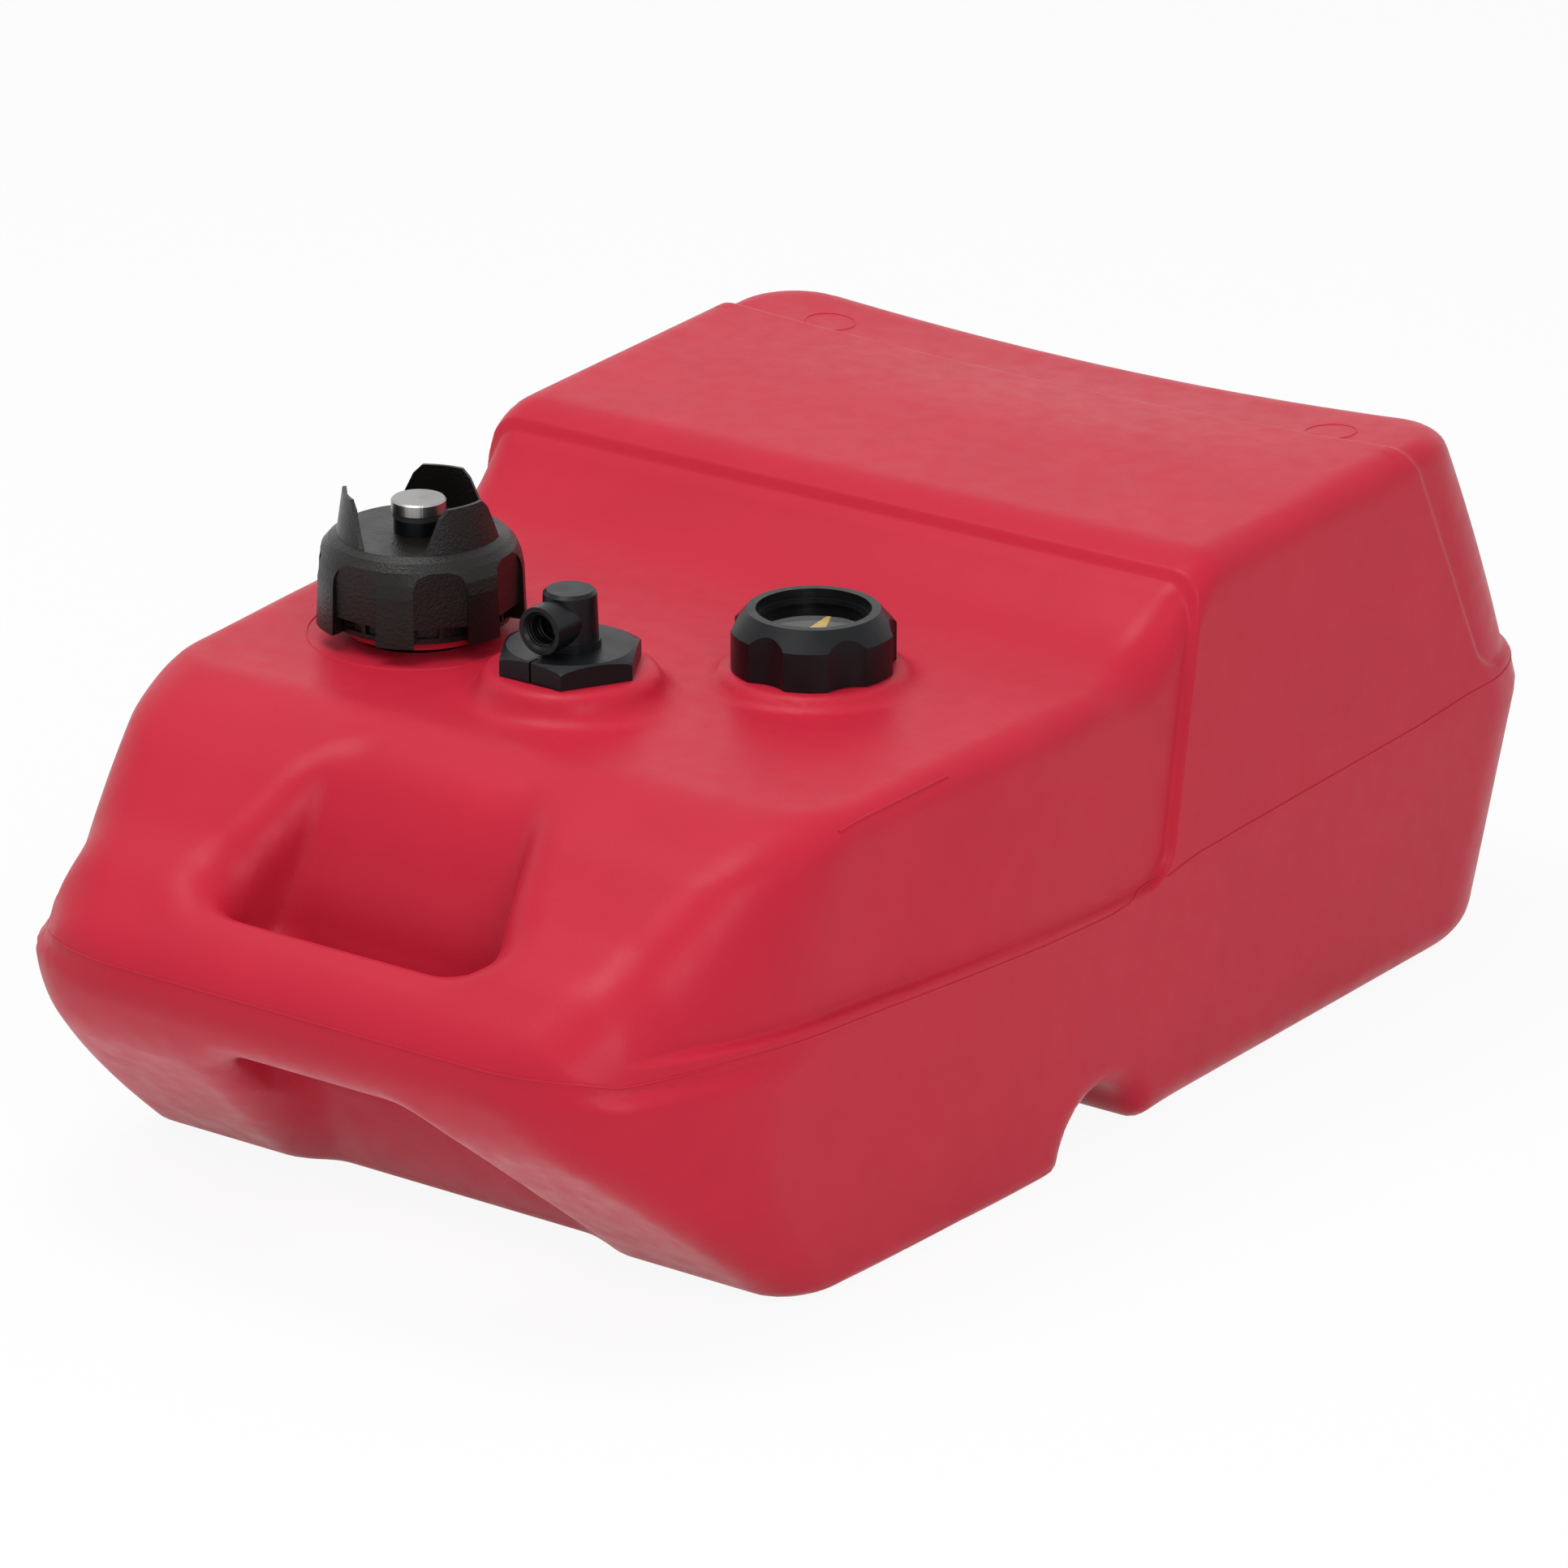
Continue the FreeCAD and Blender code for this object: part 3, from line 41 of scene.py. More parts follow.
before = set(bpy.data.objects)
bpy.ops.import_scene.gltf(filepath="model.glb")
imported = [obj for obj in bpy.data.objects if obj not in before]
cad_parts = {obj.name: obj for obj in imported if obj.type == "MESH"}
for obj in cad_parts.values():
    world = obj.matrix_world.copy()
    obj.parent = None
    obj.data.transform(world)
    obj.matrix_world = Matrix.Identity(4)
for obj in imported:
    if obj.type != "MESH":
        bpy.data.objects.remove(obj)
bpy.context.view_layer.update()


def middle(node):
    """The middle of a node's box in plan, in millimetres."""
    low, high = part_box(node)
    return ((low[0] + high[0]) * 500, (low[1] + high[1]) * 500)


# Upright axes of the three fittings in plan, in millimetres
FILLER = (-81.0, -103.0)
OUTLET = middle("outlet_nut")
GAUGE = middle("gauge_ring")

# Foot of the cap, and the open end and the height of the outlet's side branch, in millimetres
CAP_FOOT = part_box("cap_shell")[0][2] * 1000
MOUTH_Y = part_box("outlet_elbow")[0][1] * 1000
MOUTH_Z = 197.5


# Settings
class TankSettings(bpy.types.PropertyGroup):
    """Sizes and colours of the tank's skin."""
    cell: bpy.props.FloatProperty(name="Mesh cell", description="Cell of the skin's mesh, in millimetres",
                                  default=3.4, min=2.5, max=12)
    wall: bpy.props.FloatProperty(name="Wall", description="Wall of the tank, in millimetres", default=3.6)
    step_depth: bpy.props.FloatProperty(name="Step", default=3.0,
                                        description="Depth of the step in the side, in millimetres")
    band_depth: bpy.props.FloatProperty(name="Rear band", default=2.2,
                                        description="Depth of the rear step, in millimetres")
    colour: bpy.props.FloatVectorProperty(name="Tank colour", description="Colour of the polyethylene",
                                          subtype="COLOR", default=(0.50, 0.017, 0.040))


class FittingSettings(bpy.types.PropertyGroup):
    """Colours of the cap, the outlet and the gauge."""
    cap: bpy.props.FloatVectorProperty(name="Cap colour", description="Colour of the filler cap",
                                       subtype="COLOR", default=(0.006, 0.0048, 0.0043))
    black: bpy.props.FloatVectorProperty(name="Fitting colour", subtype="COLOR",
                                         description="Colour of the outlet and the gauge's ring",
                                         default=(0.004, 0.0047, 0.006))
    pointer: bpy.props.FloatVectorProperty(name="Pointer colour", description="Colour of the gauge's pointer",
                                           subtype="COLOR", default=(0.80, 0.50, 0.02))
    metal: bpy.props.FloatVectorProperty(name="Knob colour", description="Colour of the vent's metal knob",
                                         subtype="COLOR", default=(0.36, 0.35, 0.34))


# The moulded form, in millimetres
def both(a, b, radius):
    """What lies inside both forms, with the edge between them rounded."""
    rounded = np.hypot(np.maximum(a + radius, 0), np.maximum(b + radius, 0))
    return np.minimum(np.maximum(a, b), -radius) + rounded


def either(a, b, radius):
    """What lies inside either form, with the corner between them filled by a fillet."""
    filled = np.hypot(np.maximum(radius - a, 0), np.maximum(radius - b, 0))
    return np.maximum(np.minimum(a, b), radius) - filled


def without(a, b, radius):
    """The first form without the second, with the new edge rounded."""
    return both(a, -b, radius)


def plane(y, z, through, toward):
    """Distance outside an upright or leaning plane across the tank, from a point and its outward normal."""
    length = math.hypot(*toward)
    return ((y - through[0]) * toward[0] + (z - through[1]) * toward[1]) / length


def ramp(value):
    """A smooth rise from 0 to 1 over the unit interval."""
    share = np.clip(value, 0, 1)
    return share * share * (3 - 2 * share)


def bend(a, b, softness):
    """The lesser of two values, with a soft bend where they cross."""
    return -softness * np.logaddexp(-a / softness, -b / softness)


def along(y, start, run):
    """A smooth rise from 0 to 1 along the tank, toward the nose where the run is negative."""
    return ramp((y - start) / run)


# In the lists below, a name that ends in PLACE holds where a change along the tank starts, and its run,
# which is negative toward the nose. A name that ends in SHARE turns a level distance into one square to a face.

# Driving heights and places: the parting line, the deck, and the hump's ridge, foot and top
HALF_LENGTH = 280.0
SEAM = 97.5
DECK = 174.0
RIDGE = 206.0
TOP = 209.5
RIDGE_Y = 37.0
FOOT_Y = -25.0

# Plan of the tank: half widths, how much they grow, and how much a side draws in to the base
NOSE_HALF_WIDTH = 143.2
NOSE_WIDENING = 11.8
WAIST_Y = -62.0
WAIST_HALF_WIDTH = 155.0
REAR_WIDENING = 1.2
WAIST_SOFTNESS = 0.8
BASE_DRAW = 5.5

# Nose: a point and the outward normal of its two faces, and the roundings where they meet
NOSE_POINT = (-282.0, 104.5)
NOSE_NORMAL = (-76.0, 97.0)
CHIN_POINT = (-254.0, 58.5)
CHIN_NORMAL = (-58.5, -66.0)
NOSE_STAND_OUT = 5.0
NOSE_ROUND = 16.0
CHIN_ROUND = 26.0

# Rear: how far it leans in at the base and at the top
REAR_BASE_LEAN = 16.3
REAR_TOP_LEAN = 65.2
REAR_ROUND = 5.0

# Slope from the deck to the ridge, and the hump's top behind it
SLOPE_POWER = 2.3
SLOPE_END = 1.3
SLOPE_EASE = 0.35
SAG = 8.5
SAG_HALF_WIDTH = 150.0
SAG_PLACE = (110.0, 110.0)
RIDGE_DROP = 2.5
TOP_RISE = 3.0
TOP_RUN = 181.0
RIDGE_ROUND = 12.0

# Upright corners: their radius at the parting line, at the top and at the base
NOSE_CORNER = (71.3, 22.0, 16.4)
REAR_CORNER = (44.8, 30.3, 55.5)

# Top edge: its radius, and what the deck, the foot of the slope and the nose add to it
EDGE = 11.6
EDGE_DECK = 3.2
EDGE_DECK_PLACE = (-20.0, -30.0)
EDGE_FOOT = 8.0
EDGE_FOOT_Y = 8.0
EDGE_FOOT_SPREAD = 22.0
EDGE_NOSE = 6.0
EDGE_NOSE_PLACE = (-150.0, -40.0)

# Base edge: its radius toward the nose, and what it gains toward the rear
BASE_EDGE = 4.5
BASE_EDGE_REAR = 8.0
BASE_EDGE_PLACE = (-40.0, 80.0)

# Set-in front panel: its upright rear edge, the ledge below it, and how its step deepens and fades
PANEL_Y = 20.0
PANEL_Z = 107.0
PANEL_LEAN = 0.165
PANEL_ROUND = 14.0
LEDGE_Y = (-280, -254, -231, -174, -110, -11, 60)
LEDGE_Z = (105, 104.7, 104, 101.5, 97.5, 92, 90)
STEP_WIDTH = 2.6
STEP_GAIN = 0.5
STEP_GAIN_PLACE = (-60.0, -100.0)
STEP_FADE_PLACE = (-257.0, 26.0)

# Set-in rear panel: its slanting front edge and the ledge below it
BAND_Y = 212.0
BAND_Z = 127.0
BAND_SLANT = 0.53
BAND_SHARE = 0.88
BAND_LEDGE = 106.0
BAND_ROUND = 12.0
BAND_WIDTH = 4.0

# Cross channel in the base
CHANNEL_Y = -15.5
CHANNEL_Z = -0.5
CHANNEL_RADIUS = 23.0
CHANNEL_EDGE = 9.0

# Hand pocket above the carrying bar
POCKET_POINT = (-222.0, 107.0)
POCKET_NORMAL = (1.0, -0.448)
POCKET_HALF_WIDTH = 41.0
POCKET_MOUTH_Y = -201.0
POCKET_FLARE = 0.36
POCKET_SHARE = 0.93
POCKET_CORNER = 4.0
POCKET_FRONT_Y = -248.0
POCKET_FRONT_ROUND = 16.0
POCKET_FLOOR = 99.0
POCKET_FLOOR_ROUND = 8.0
POCKET_EDGE = 14.0
POCKET_EDGE_NOSE = 6.0
POCKET_EDGE_PLACE = (-225.0, -20.0)

# Slot through the nose, behind the bar
SLOT_HALF_WIDTH = 46.0
SLOT_Y = -235.5
SLOT_HALF_LENGTH = 14.0
SLOT_CORNER = 9.0
SLOT_Z = 88.0
SLOT_HALF_HEIGHT = 40.0
SLOT_END_ROUND = 2.0
SLOT_EDGE = 7.0

# Recess under the bar
RECESS_POINT = (-223.0, 70.0)
RECESS_NORMAL = (1.0, 0.50)
RECESS_HALF_WIDTH = 44.0
RECESS_FLARE = 0.29
RECESS_CORNER = 12.0
RECESS_CEILING = 71.0
RECESS_EDGE = 14.0

# Pads that carry the outlet and the gauge: radius, middle height, half height, edge and fillet
OUTLET_PAD = (31.0, 172.0, 8.0, 4.0, 9.0)
GAUGE_PAD = (33.0, 170.0, 5.6, 2.0, 5.0)


def panel_edge(y, z):
    """Distance outside the set-in front panel of the upper shell."""
    upright = y - (PANEL_Y + PANEL_LEAN * (z - PANEL_Z))
    ledge = np.interp(y, LEDGE_Y, LEDGE_Z) - z
    return both(upright, ledge, PANEL_ROUND)


def band_edge(y, z):
    """Distance outside the set-in panel at the rear."""
    slant = (BAND_Y - BAND_SLANT * (z - BAND_Z) - y) * BAND_SHARE
    return both(slant, BAND_LEDGE - z, BAND_ROUND)


def nose_form(y, z):
    """Distance outside the nose: its upper face, its chin and the limit of its tip."""
    upper = plane(y, z, NOSE_POINT, NOSE_NORMAL)
    chin = plane(y, z, CHIN_POINT, CHIN_NORMAL)
    return both(both(upper, -HALF_LENGTH - NOSE_STAND_OUT - y, NOSE_ROUND), chin, CHIN_ROUND)


def rear_form(y, z):
    """Distance outside the rear, which leans in below and above the parting line."""
    lower = plane(y, z, (HALF_LENGTH, SEAM), (SEAM, -REAR_BASE_LEAN))
    upper = plane(y, z, (HALF_LENGTH, SEAM), (TOP - SEAM, REAR_TOP_LEAN))
    return both(lower, upper, REAR_ROUND)


def top_form(x, y, z):
    """Distance above the deck, its slope to the ridge and the sagging top of the hump."""
    share = np.clip((y - FOOT_Y) / (RIDGE_Y - FOOT_Y), 0, SLOPE_END)
    slope = (z - DECK - (RIDGE - DECK) * share ** SLOPE_POWER) * (1 - SLOPE_EASE * np.clip(share, 0, 1))
    sag = SAG * (1 - (x / SAG_HALF_WIDTH) ** 2) * along(y, *SAG_PLACE)
    hump = z - (RIDGE - RIDGE_DROP + (TOP - RIDGE + TOP_RISE) * (y - RIDGE_Y) / TOP_RUN - sag)
    return both(slope, hump, RIDGE_ROUND)


def pad_form(x, y, z, spot, pad):
    """Distance outside a round pad on the deck."""
    radius, middle_height, half_height, edge, _ = pad
    return both(np.hypot(x - spot[0], y - spot[1]) - radius, np.abs(z - middle_height) - half_height, edge)


def tank_field(x, y, z, settings):
    """Distance outside the tank's outer surface, negative inside it."""
    across = np.abs(x)
    below = np.clip(1 - z / SEAM, 0, 1)
    above = np.clip((z - SEAM) / (TOP - SEAM), 0, 1)
    width = bend(NOSE_HALF_WIDTH + (y + HALF_LENGTH) * NOSE_WIDENING / (HALF_LENGTH + WAIST_Y),
                 WAIST_HALF_WIDTH + (y - WAIST_Y) * REAR_WIDENING / (HALF_LENGTH - WAIST_Y),
                 WAIST_SOFTNESS) - BASE_DRAW * below
    seam, high, low = NOSE_CORNER
    corner = np.where(z > SEAM, high + (seam - high) * (1 - above) ** 2,
                      low + (seam - low) * (1 - below) ** 2)
    form = both(across - width, nose_form(y, z), corner)
    seam, high, low = REAR_CORNER
    corner = np.where(z > SEAM, high + (seam - high) * (1 - above) ** 2,
                      low + (seam - low) * (1 - below))
    form = both(form, rear_form(y, z), corner)
    edge = (EDGE + EDGE_DECK * along(y, *EDGE_DECK_PLACE)
            + EDGE_FOOT * np.exp(-((y - EDGE_FOOT_Y) / EDGE_FOOT_SPREAD) ** 2)
            + EDGE_NOSE * along(y, *EDGE_NOSE_PLACE))
    form = both(form, top_form(x, y, z), edge)
    form = both(form, -z, BASE_EDGE + BASE_EDGE_REAR * along(y, *BASE_EDGE_PLACE))
    depth = settings.step_depth * (1 + STEP_GAIN * along(y, *STEP_GAIN_PLACE)) * along(y, *STEP_FADE_PLACE)
    form = form + depth * ramp(-panel_edge(y, z) / STEP_WIDTH)
    form = form + settings.band_depth * ramp(-band_edge(y, z) / BAND_WIDTH)
    edge = POCKET_EDGE + POCKET_EDGE_NOSE * along(y, *POCKET_EDGE_PLACE)
    form = without(form, pocket_field(across, y, z), edge)
    form = without(form, slot_field(across, y, z), SLOT_EDGE)
    form = without(form, recess_field(across, y, z), RECESS_EDGE)
    form = without(form, np.hypot(y - CHANNEL_Y, z - CHANNEL_Z) - CHANNEL_RADIUS, CHANNEL_EDGE)
    form = either(form, pad_form(x, y, z, OUTLET, OUTLET_PAD), OUTLET_PAD[-1])
    return either(form, pad_form(x, y, z, GAUGE, GAUGE_PAD), GAUGE_PAD[-1])


def pocket_field(across, y, z):
    """Distance outside the hand pocket above the carrying bar."""
    back = plane(y, z, POCKET_POINT, POCKET_NORMAL)
    flank = (across - (POCKET_HALF_WIDTH + (POCKET_MOUTH_Y - y) * POCKET_FLARE)) * POCKET_SHARE
    walls = both(both(back, flank, POCKET_CORNER), POCKET_FRONT_Y - y, POCKET_FRONT_ROUND)
    return both(walls, POCKET_FLOOR - z, POCKET_FLOOR_ROUND)


def slot_field(across, y, z):
    """Distance outside the slot through the nose, behind the bar."""
    outline = both(across - SLOT_HALF_WIDTH, np.abs(y - SLOT_Y) - SLOT_HALF_LENGTH, SLOT_CORNER)
    return both(outline, np.abs(z - SLOT_Z) - SLOT_HALF_HEIGHT, SLOT_END_ROUND)


def recess_field(across, y, z):
    """Distance outside the recess under the bar."""
    back = plane(y, z, RECESS_POINT, RECESS_NORMAL)
    flank = across - (RECESS_HALF_WIDTH + (RECESS_POINT[1] - z) * RECESS_FLARE)
    return both(both(back, flank, RECESS_CORNER), z - RECESS_CEILING, RECESS_CORNER)


# Meshes of the form
def grid_points(low, high, cell):
    """The grid lines along each axis between two corners."""
    counts = [int(math.ceil((b - a) / cell)) + 1 for a, b in zip(low, high)]
    return [low[i] + cell * np.arange(counts[i]) for i in range(3)]


def net(values, axes):
    """Vertices and outward quads of the surface where a field on a grid crosses zero."""
    inside = values < 0
    cells = tuple(n - 1 for n in values.shape)
    count = np.zeros(cells, np.int8)
    total = np.zeros(cells + (3,))
    crossings = np.zeros(cells)
    corners = [(i, j, k) for i in (0, 1) for j in (0, 1) for k in (0, 1)]
    part = {c: tuple(slice(o, o + n) for o, n in zip(c, cells)) for c in corners}
    for corner in corners:
        count += inside[part[corner]]
    steps = [axis[1] - axis[0] for axis in axes]
    for start in corners:
        for axis in range(3):
            if start[axis]:
                continue
            end = tuple(1 if i == axis else start[i] for i in range(3))
            a = values[part[start]]
            b = values[part[end]]
            crossed = inside[part[start]] != inside[part[end]]
            share = np.where(crossed, a / np.where(crossed, a - b, 1), 0)
            for i in range(3):
                offset = share if i == axis else start[i]
                total[..., i] += np.where(crossed, offset * steps[i], 0)
            crossings += crossed
    mixed = (count > 0) & (count < 8)
    index = np.full(cells, -1)
    index[mixed] = np.arange(mixed.sum())
    where = np.argwhere(mixed)
    base = np.stack([axes[i][where[:, i]] for i in range(3)], 1)
    points = base + total[mixed] / crossings[mixed][:, None]
    quads = []
    for axis in range(3):
        u, v = (axis + 1) % 3, (axis + 2) % 3
        ahead = [slice(None)] * 3
        behind = [slice(None)] * 3
        ahead[axis] = slice(1, None)
        behind[axis] = slice(None, -1)
        crossed = inside[tuple(behind)] != inside[tuple(ahead)]
        spots = np.argwhere(crossed)
        keep = (spots[:, u] > 0) & (spots[:, v] > 0) & (spots[:, u] < cells[u]) & (spots[:, v] < cells[v])
        spots = spots[keep]
        ring = []
        for du, dv in ((1, 1), (0, 1), (0, 0), (1, 0)):
            cell = spots.copy()
            cell[:, u] -= du
            cell[:, v] -= dv
            ring.append(index[cell[:, 0], cell[:, 1], cell[:, 2]])
        faces = np.stack(ring, 1)
        leaving = inside[tuple(behind)][tuple(spots.T)]
        faces[leaving] = faces[leaving][:, ::-1]
        quads.append(faces)
    return points, np.concatenate(quads)


NET_LOW = (-162, -286, -6)
NET_HIGH = (162, 286, 216)
HOLLOW_CELL = 11.0

# Steps in the side: the middle of their slope, and how near to it the mesh is refined, round by round
STEP_MIDDLE = 2.0
STEP_REACH = (7, 5)

# Newton steps: the distance that the gradient is read over, its least square and the longest move, in mm
PROBE = 0.05
LEAST_SLOPE = 0.05
LONGEST_MOVE = 2.0


def settle(points, settings, level=0.0, rounds=4):
    """Move points onto the surface along the field's gradient."""
    for _ in range(rounds):
        value = tank_field(*points.T, settings) - level
        slope = np.empty_like(points)
        for i in range(3):
            moved = points.copy()
            moved[:, i] += PROBE
            slope[:, i] = (tank_field(*moved.T, settings) - level - value) / PROBE
        size = np.maximum((slope ** 2).sum(1), LEAST_SLOPE)
        shift = slope * (value / size)[:, None]
        longest = np.maximum(np.linalg.norm(shift, axis=1), 1e-9)
        shift *= np.minimum(1, LONGEST_MOVE / longest)[:, None]
        points = points - shift
    return points


def mesh_object(name, points, faces):
    """A new object from points in millimetres."""
    mesh = bpy.data.meshes.new(name)
    mesh.from_pydata((np.asarray(points) / 1000).tolist(), [], np.asarray(faces).tolist())
    mesh.update()
    piece = bpy.data.objects.new(name, mesh)
    bpy.context.scene.collection.objects.link(piece)
    return piece


def only(piece):
    """Select one object and make it active."""
    bpy.ops.object.select_all(action="DESELECT")
    piece.select_set(True)
    bpy.context.view_layer.objects.active = piece


def skin_points(piece):
    """A mesh's points, in millimetres."""
    flat = np.empty(len(piece.data.vertices) * 3)
    piece.data.vertices.foreach_get("co", flat)
    return flat.reshape(-1, 3) * 1000


def set_skin_points(piece, points):
    """Give a mesh new points, in millimetres."""
    piece.data.vertices.foreach_set("co", (points / 1000).ravel())
    piece.data.update()


def refine(piece, settings, reach):
    """Subdivide the faces whose middles are near a step's line, and settle the new points."""
    centres = np.empty(len(piece.data.polygons) * 3)
    piece.data.polygons.foreach_get("center", centres)
    y, z = centres.reshape(-1, 3).T[1:] * 1000
    front = np.abs(panel_edge(y, z) + STEP_MIDDLE) < reach
    rear = np.abs(band_edge(y, z) + STEP_MIDDLE) < reach
    only(piece)
    bpy.ops.object.mode_set(mode="EDIT")
    bpy.ops.mesh.select_mode(type="FACE")
    bpy.ops.mesh.select_all(action="DESELECT")
    bpy.ops.object.mode_set(mode="OBJECT")
    piece.data.polygons.foreach_set("select", front | rear)
    bpy.ops.object.mode_set(mode="EDIT")
    bpy.ops.mesh.subdivide(number_cuts=1)
    bpy.ops.object.mode_set(mode="OBJECT")
    set_skin_points(piece, settle(skin_points(piece), settings))


def wire(name, points, half_width, closed=False):
    """A thin round bar through points in millimetres, as a mesh."""
    points = np.asarray(points, float) / 1000
    curve = bpy.data.curves.new(name, "CURVE")
    curve.dimensions = "3D"
    curve.bevel_depth = half_width / 1000
    curve.bevel_resolution = 1
    curve.use_fill_caps = not closed
    line = curve.splines.new("POLY")
    line.points.add(len(points) - 1)
    line.points.foreach_set("co", np.hstack([points, np.ones((len(points), 1))]).ravel())
    line.use_cyclic_u = closed
    piece = bpy.data.objects.new(name, curve)
    bpy.context.scene.collection.objects.link(piece)
    only(piece)
    bpy.ops.object.convert(target="MESH")
    return bpy.context.active_object


def ridge(name, points, settings, half_width=0.5, closed=False):
    """A fine raised mould line that follows the skin through points in millimetres."""
    return wire(name, settle(np.array(points, float), settings, rounds=16), half_width, closed)


# Necks on the deck: place, outside and bore radius, and top
NECKS = {
    "filler": (FILLER, 26.8, 23.4, 194),
    "outlet": (OUTLET, 17.5, 12.5, 182.2),
    "gauge": (GAUGE, 23.8, 19, 181),
}
BORE_LOW = 160
BORE_HIGH = 200

# Mould lines: the fill line on the deck's side, the ring round the cap and the two plain rings on the hump
FILL_LINE_X = 150
FILL_LINE_Z = 171
FILL_LINE_Y = (-167, -104)
FILL_LINE_STEP = 3
CAP_RING_RADIUS = 40
MARKS = {"left_mark": (-109, 183), "right_mark": (113, 182)}
MARK_RADIUS = 9.5
MARK_Z = 208

# Flash line: the middle of its corners' arcs, their radius, the distance between points, and its height
FLASH_CORNER = (92, 220)
FLASH_RADIUS = 60
FLASH_STEP = 4
FLASH_Y = (-280, -254, -231, -174, -110, -60, -20, 4, 34, 181, 212, 280)
FLASH_Z = (102.5, 102.2, 101.5, 99, 95, 92.2, 90.6, 92.6, 97, 100.7, 102.8, 103.2)


def helix(radius, pitch, turns, steps):
    """Points of a screw line, each as two places across its axis and one along it."""
    for i in range(turns * steps + 1):
        t = 2 * math.pi * i / steps
        yield radius * math.cos(t), radius * math.sin(t), pitch * i / steps


def neck_thread():
    """The raised thread round the filler neck, at the pitch of the cap's joint."""
    low = 178.5
    outside = NECKS["filler"][1]
    points = [(FILLER[0] + a, FILLER[1] + b, low + rise)
              for a, b, rise in helix(outside, pitch=6.0, turns=2, steps=60)]
    return wire("neck_thread", points, half_width=0.45)


def mouth_thread():
    """The thread inside the outlet's side branch, one unbroken ridge."""
    inset = 0.9
    points = [(OUTLET[0] + a, MOUTH_Y + inset + rise, MOUTH_Z + b)
              for a, b, rise in helix(radius=5.9, pitch=1.6, turns=5, steps=28)]
    return wire("outlet_thread", points, half_width=0.42)


def ring_line(name, spot, radius, z, settings, half_width=0.45, sides=72):
    """A raised ring on the top of the tank."""
    turns = np.linspace(0, 2 * math.pi, sides, endpoint=False)
    points = [(spot[0] + radius * math.cos(t), spot[1] + radius * math.sin(t), z) for t in turns]
    return ridge(name, points, settings, half_width, True)


def fill_line(settings):
    """The plain raised line that shows how far the tank is filled."""
    points = [(FILL_LINE_X, y, FILL_LINE_Z) for y in np.arange(*FILL_LINE_Y, FILL_LINE_STEP)]
    return ridge("fill_line", points, settings)


def parting_line(settings):
    """The flash line that the two halves of the mould leave round the tank."""
    quarter = [(FLASH_CORNER[0] + FLASH_RADIUS * math.cos(t), FLASH_CORNER[1] + FLASH_RADIUS * math.sin(t))
               for t in np.radians(np.arange(0, 91, 6))]
    signs = ((1, 1, 1), (-1, 1, -1), (-1, -1, 1), (1, -1, -1))
    loop = np.array([(sx * px, sy * py) for sx, sy, order in signs for px, py in quarter[::order]])
    lengths = np.concatenate([[0], np.cumsum(np.hypot(*(np.roll(loop, -1, 0) - loop).T))])
    loop = np.vstack([loop, loop[:1]])
    places = np.arange(0, lengths[-1] - FLASH_STEP / 2, FLASH_STEP)
    px = np.interp(places, lengths, loop[:, 0])
    py = np.interp(places, lengths, loop[:, 1])
    pz = np.interp(py, FLASH_Y, FLASH_Z)
    return ridge("flash_line", np.stack([px, py, pz], 1), settings, 0.4, True)


def cylinder(name, radius, low, high, spot, sides=96):
    """An upright cylinder between two heights, in millimetres."""
    bpy.ops.object.select_all(action="DESELECT")
    bpy.ops.mesh.primitive_cylinder_add(vertices=sides, radius=radius / 1000, depth=(high - low) / 1000,
                                        location=(spot[0] / 1000, spot[1] / 1000, (high + low) / 2000))
    piece = bpy.context.active_object
    piece.name = name
    bpy.ops.object.transform_apply(location=True, rotation=True, scale=True)
    return piece


def combine(piece, tool, operation):
    """Apply an exact boolean with another object and remove that object."""
    only(piece)
    modifier = piece.modifiers.new("boolean", "BOOLEAN")
    modifier.operation = operation
    modifier.solver = "EXACT"
    modifier.object = tool
    bpy.ops.object.modifier_apply(modifier=modifier.name)
    bpy.data.objects.remove(tool, do_unlink=True)


def joined(pieces):
    """Join objects into the first."""
    only(pieces[0])
    for piece in pieces:
        piece.select_set(True)
    bpy.ops.object.join()
    return pieces[0]


# Finishes

# Size of a surface's mottle and of its glossier patches, in millimetres, and how much the roughness varies
MOTTLE_MM = 38
GLOSS_MM = 9
GLOSS_LESS = 0.04
GLOSS_MORE = 0.05
SPOKE_COUNT = 90

# Colours of what has no setting of its own
RUBBER = (0.012, 0.012, 0.012)
ACETAL = (0.68, 0.66, 0.60)
DIAL = (0.006, 0.006, 0.0065)
FOAM = (0.02, 0.02, 0.02)


def new_material(name):
    """A material with its tree, its shader and the object's own coordinates."""
    material = bpy.data.materials.new(name)
    material.use_nodes = True
    tree = material.node_tree
    shader = tree.nodes["Principled BSDF"]
    spot = tree.nodes.new("ShaderNodeTexCoord")
    return material, tree, shader, spot.outputs["Object"]


def noise(tree, where, size_mm, detail=3.0, rough=0.5):
    """Noise whose blobs are about a given size."""
    node = tree.nodes.new("ShaderNodeTexNoise")
    node.inputs["Scale"].default_value = 1000 / size_mm
    node.inputs["Detail"].default_value = detail
    node.inputs["Roughness"].default_value = rough
    tree.links.new(where, node.inputs["Vector"])
    return node.outputs["Fac"]


def spread(tree, value, low, high):
    """Map the middle of a noise's range to a given range."""
    node = tree.nodes.new("ShaderNodeMapRange")
    node.inputs["From Min"].default_value = 0.3
    node.inputs["From Max"].default_value = 0.7
    node.inputs["To Min"].default_value = low
    node.inputs["To Max"].default_value = high
    tree.links.new(value, node.inputs["Value"])
    return node.outputs["Result"]


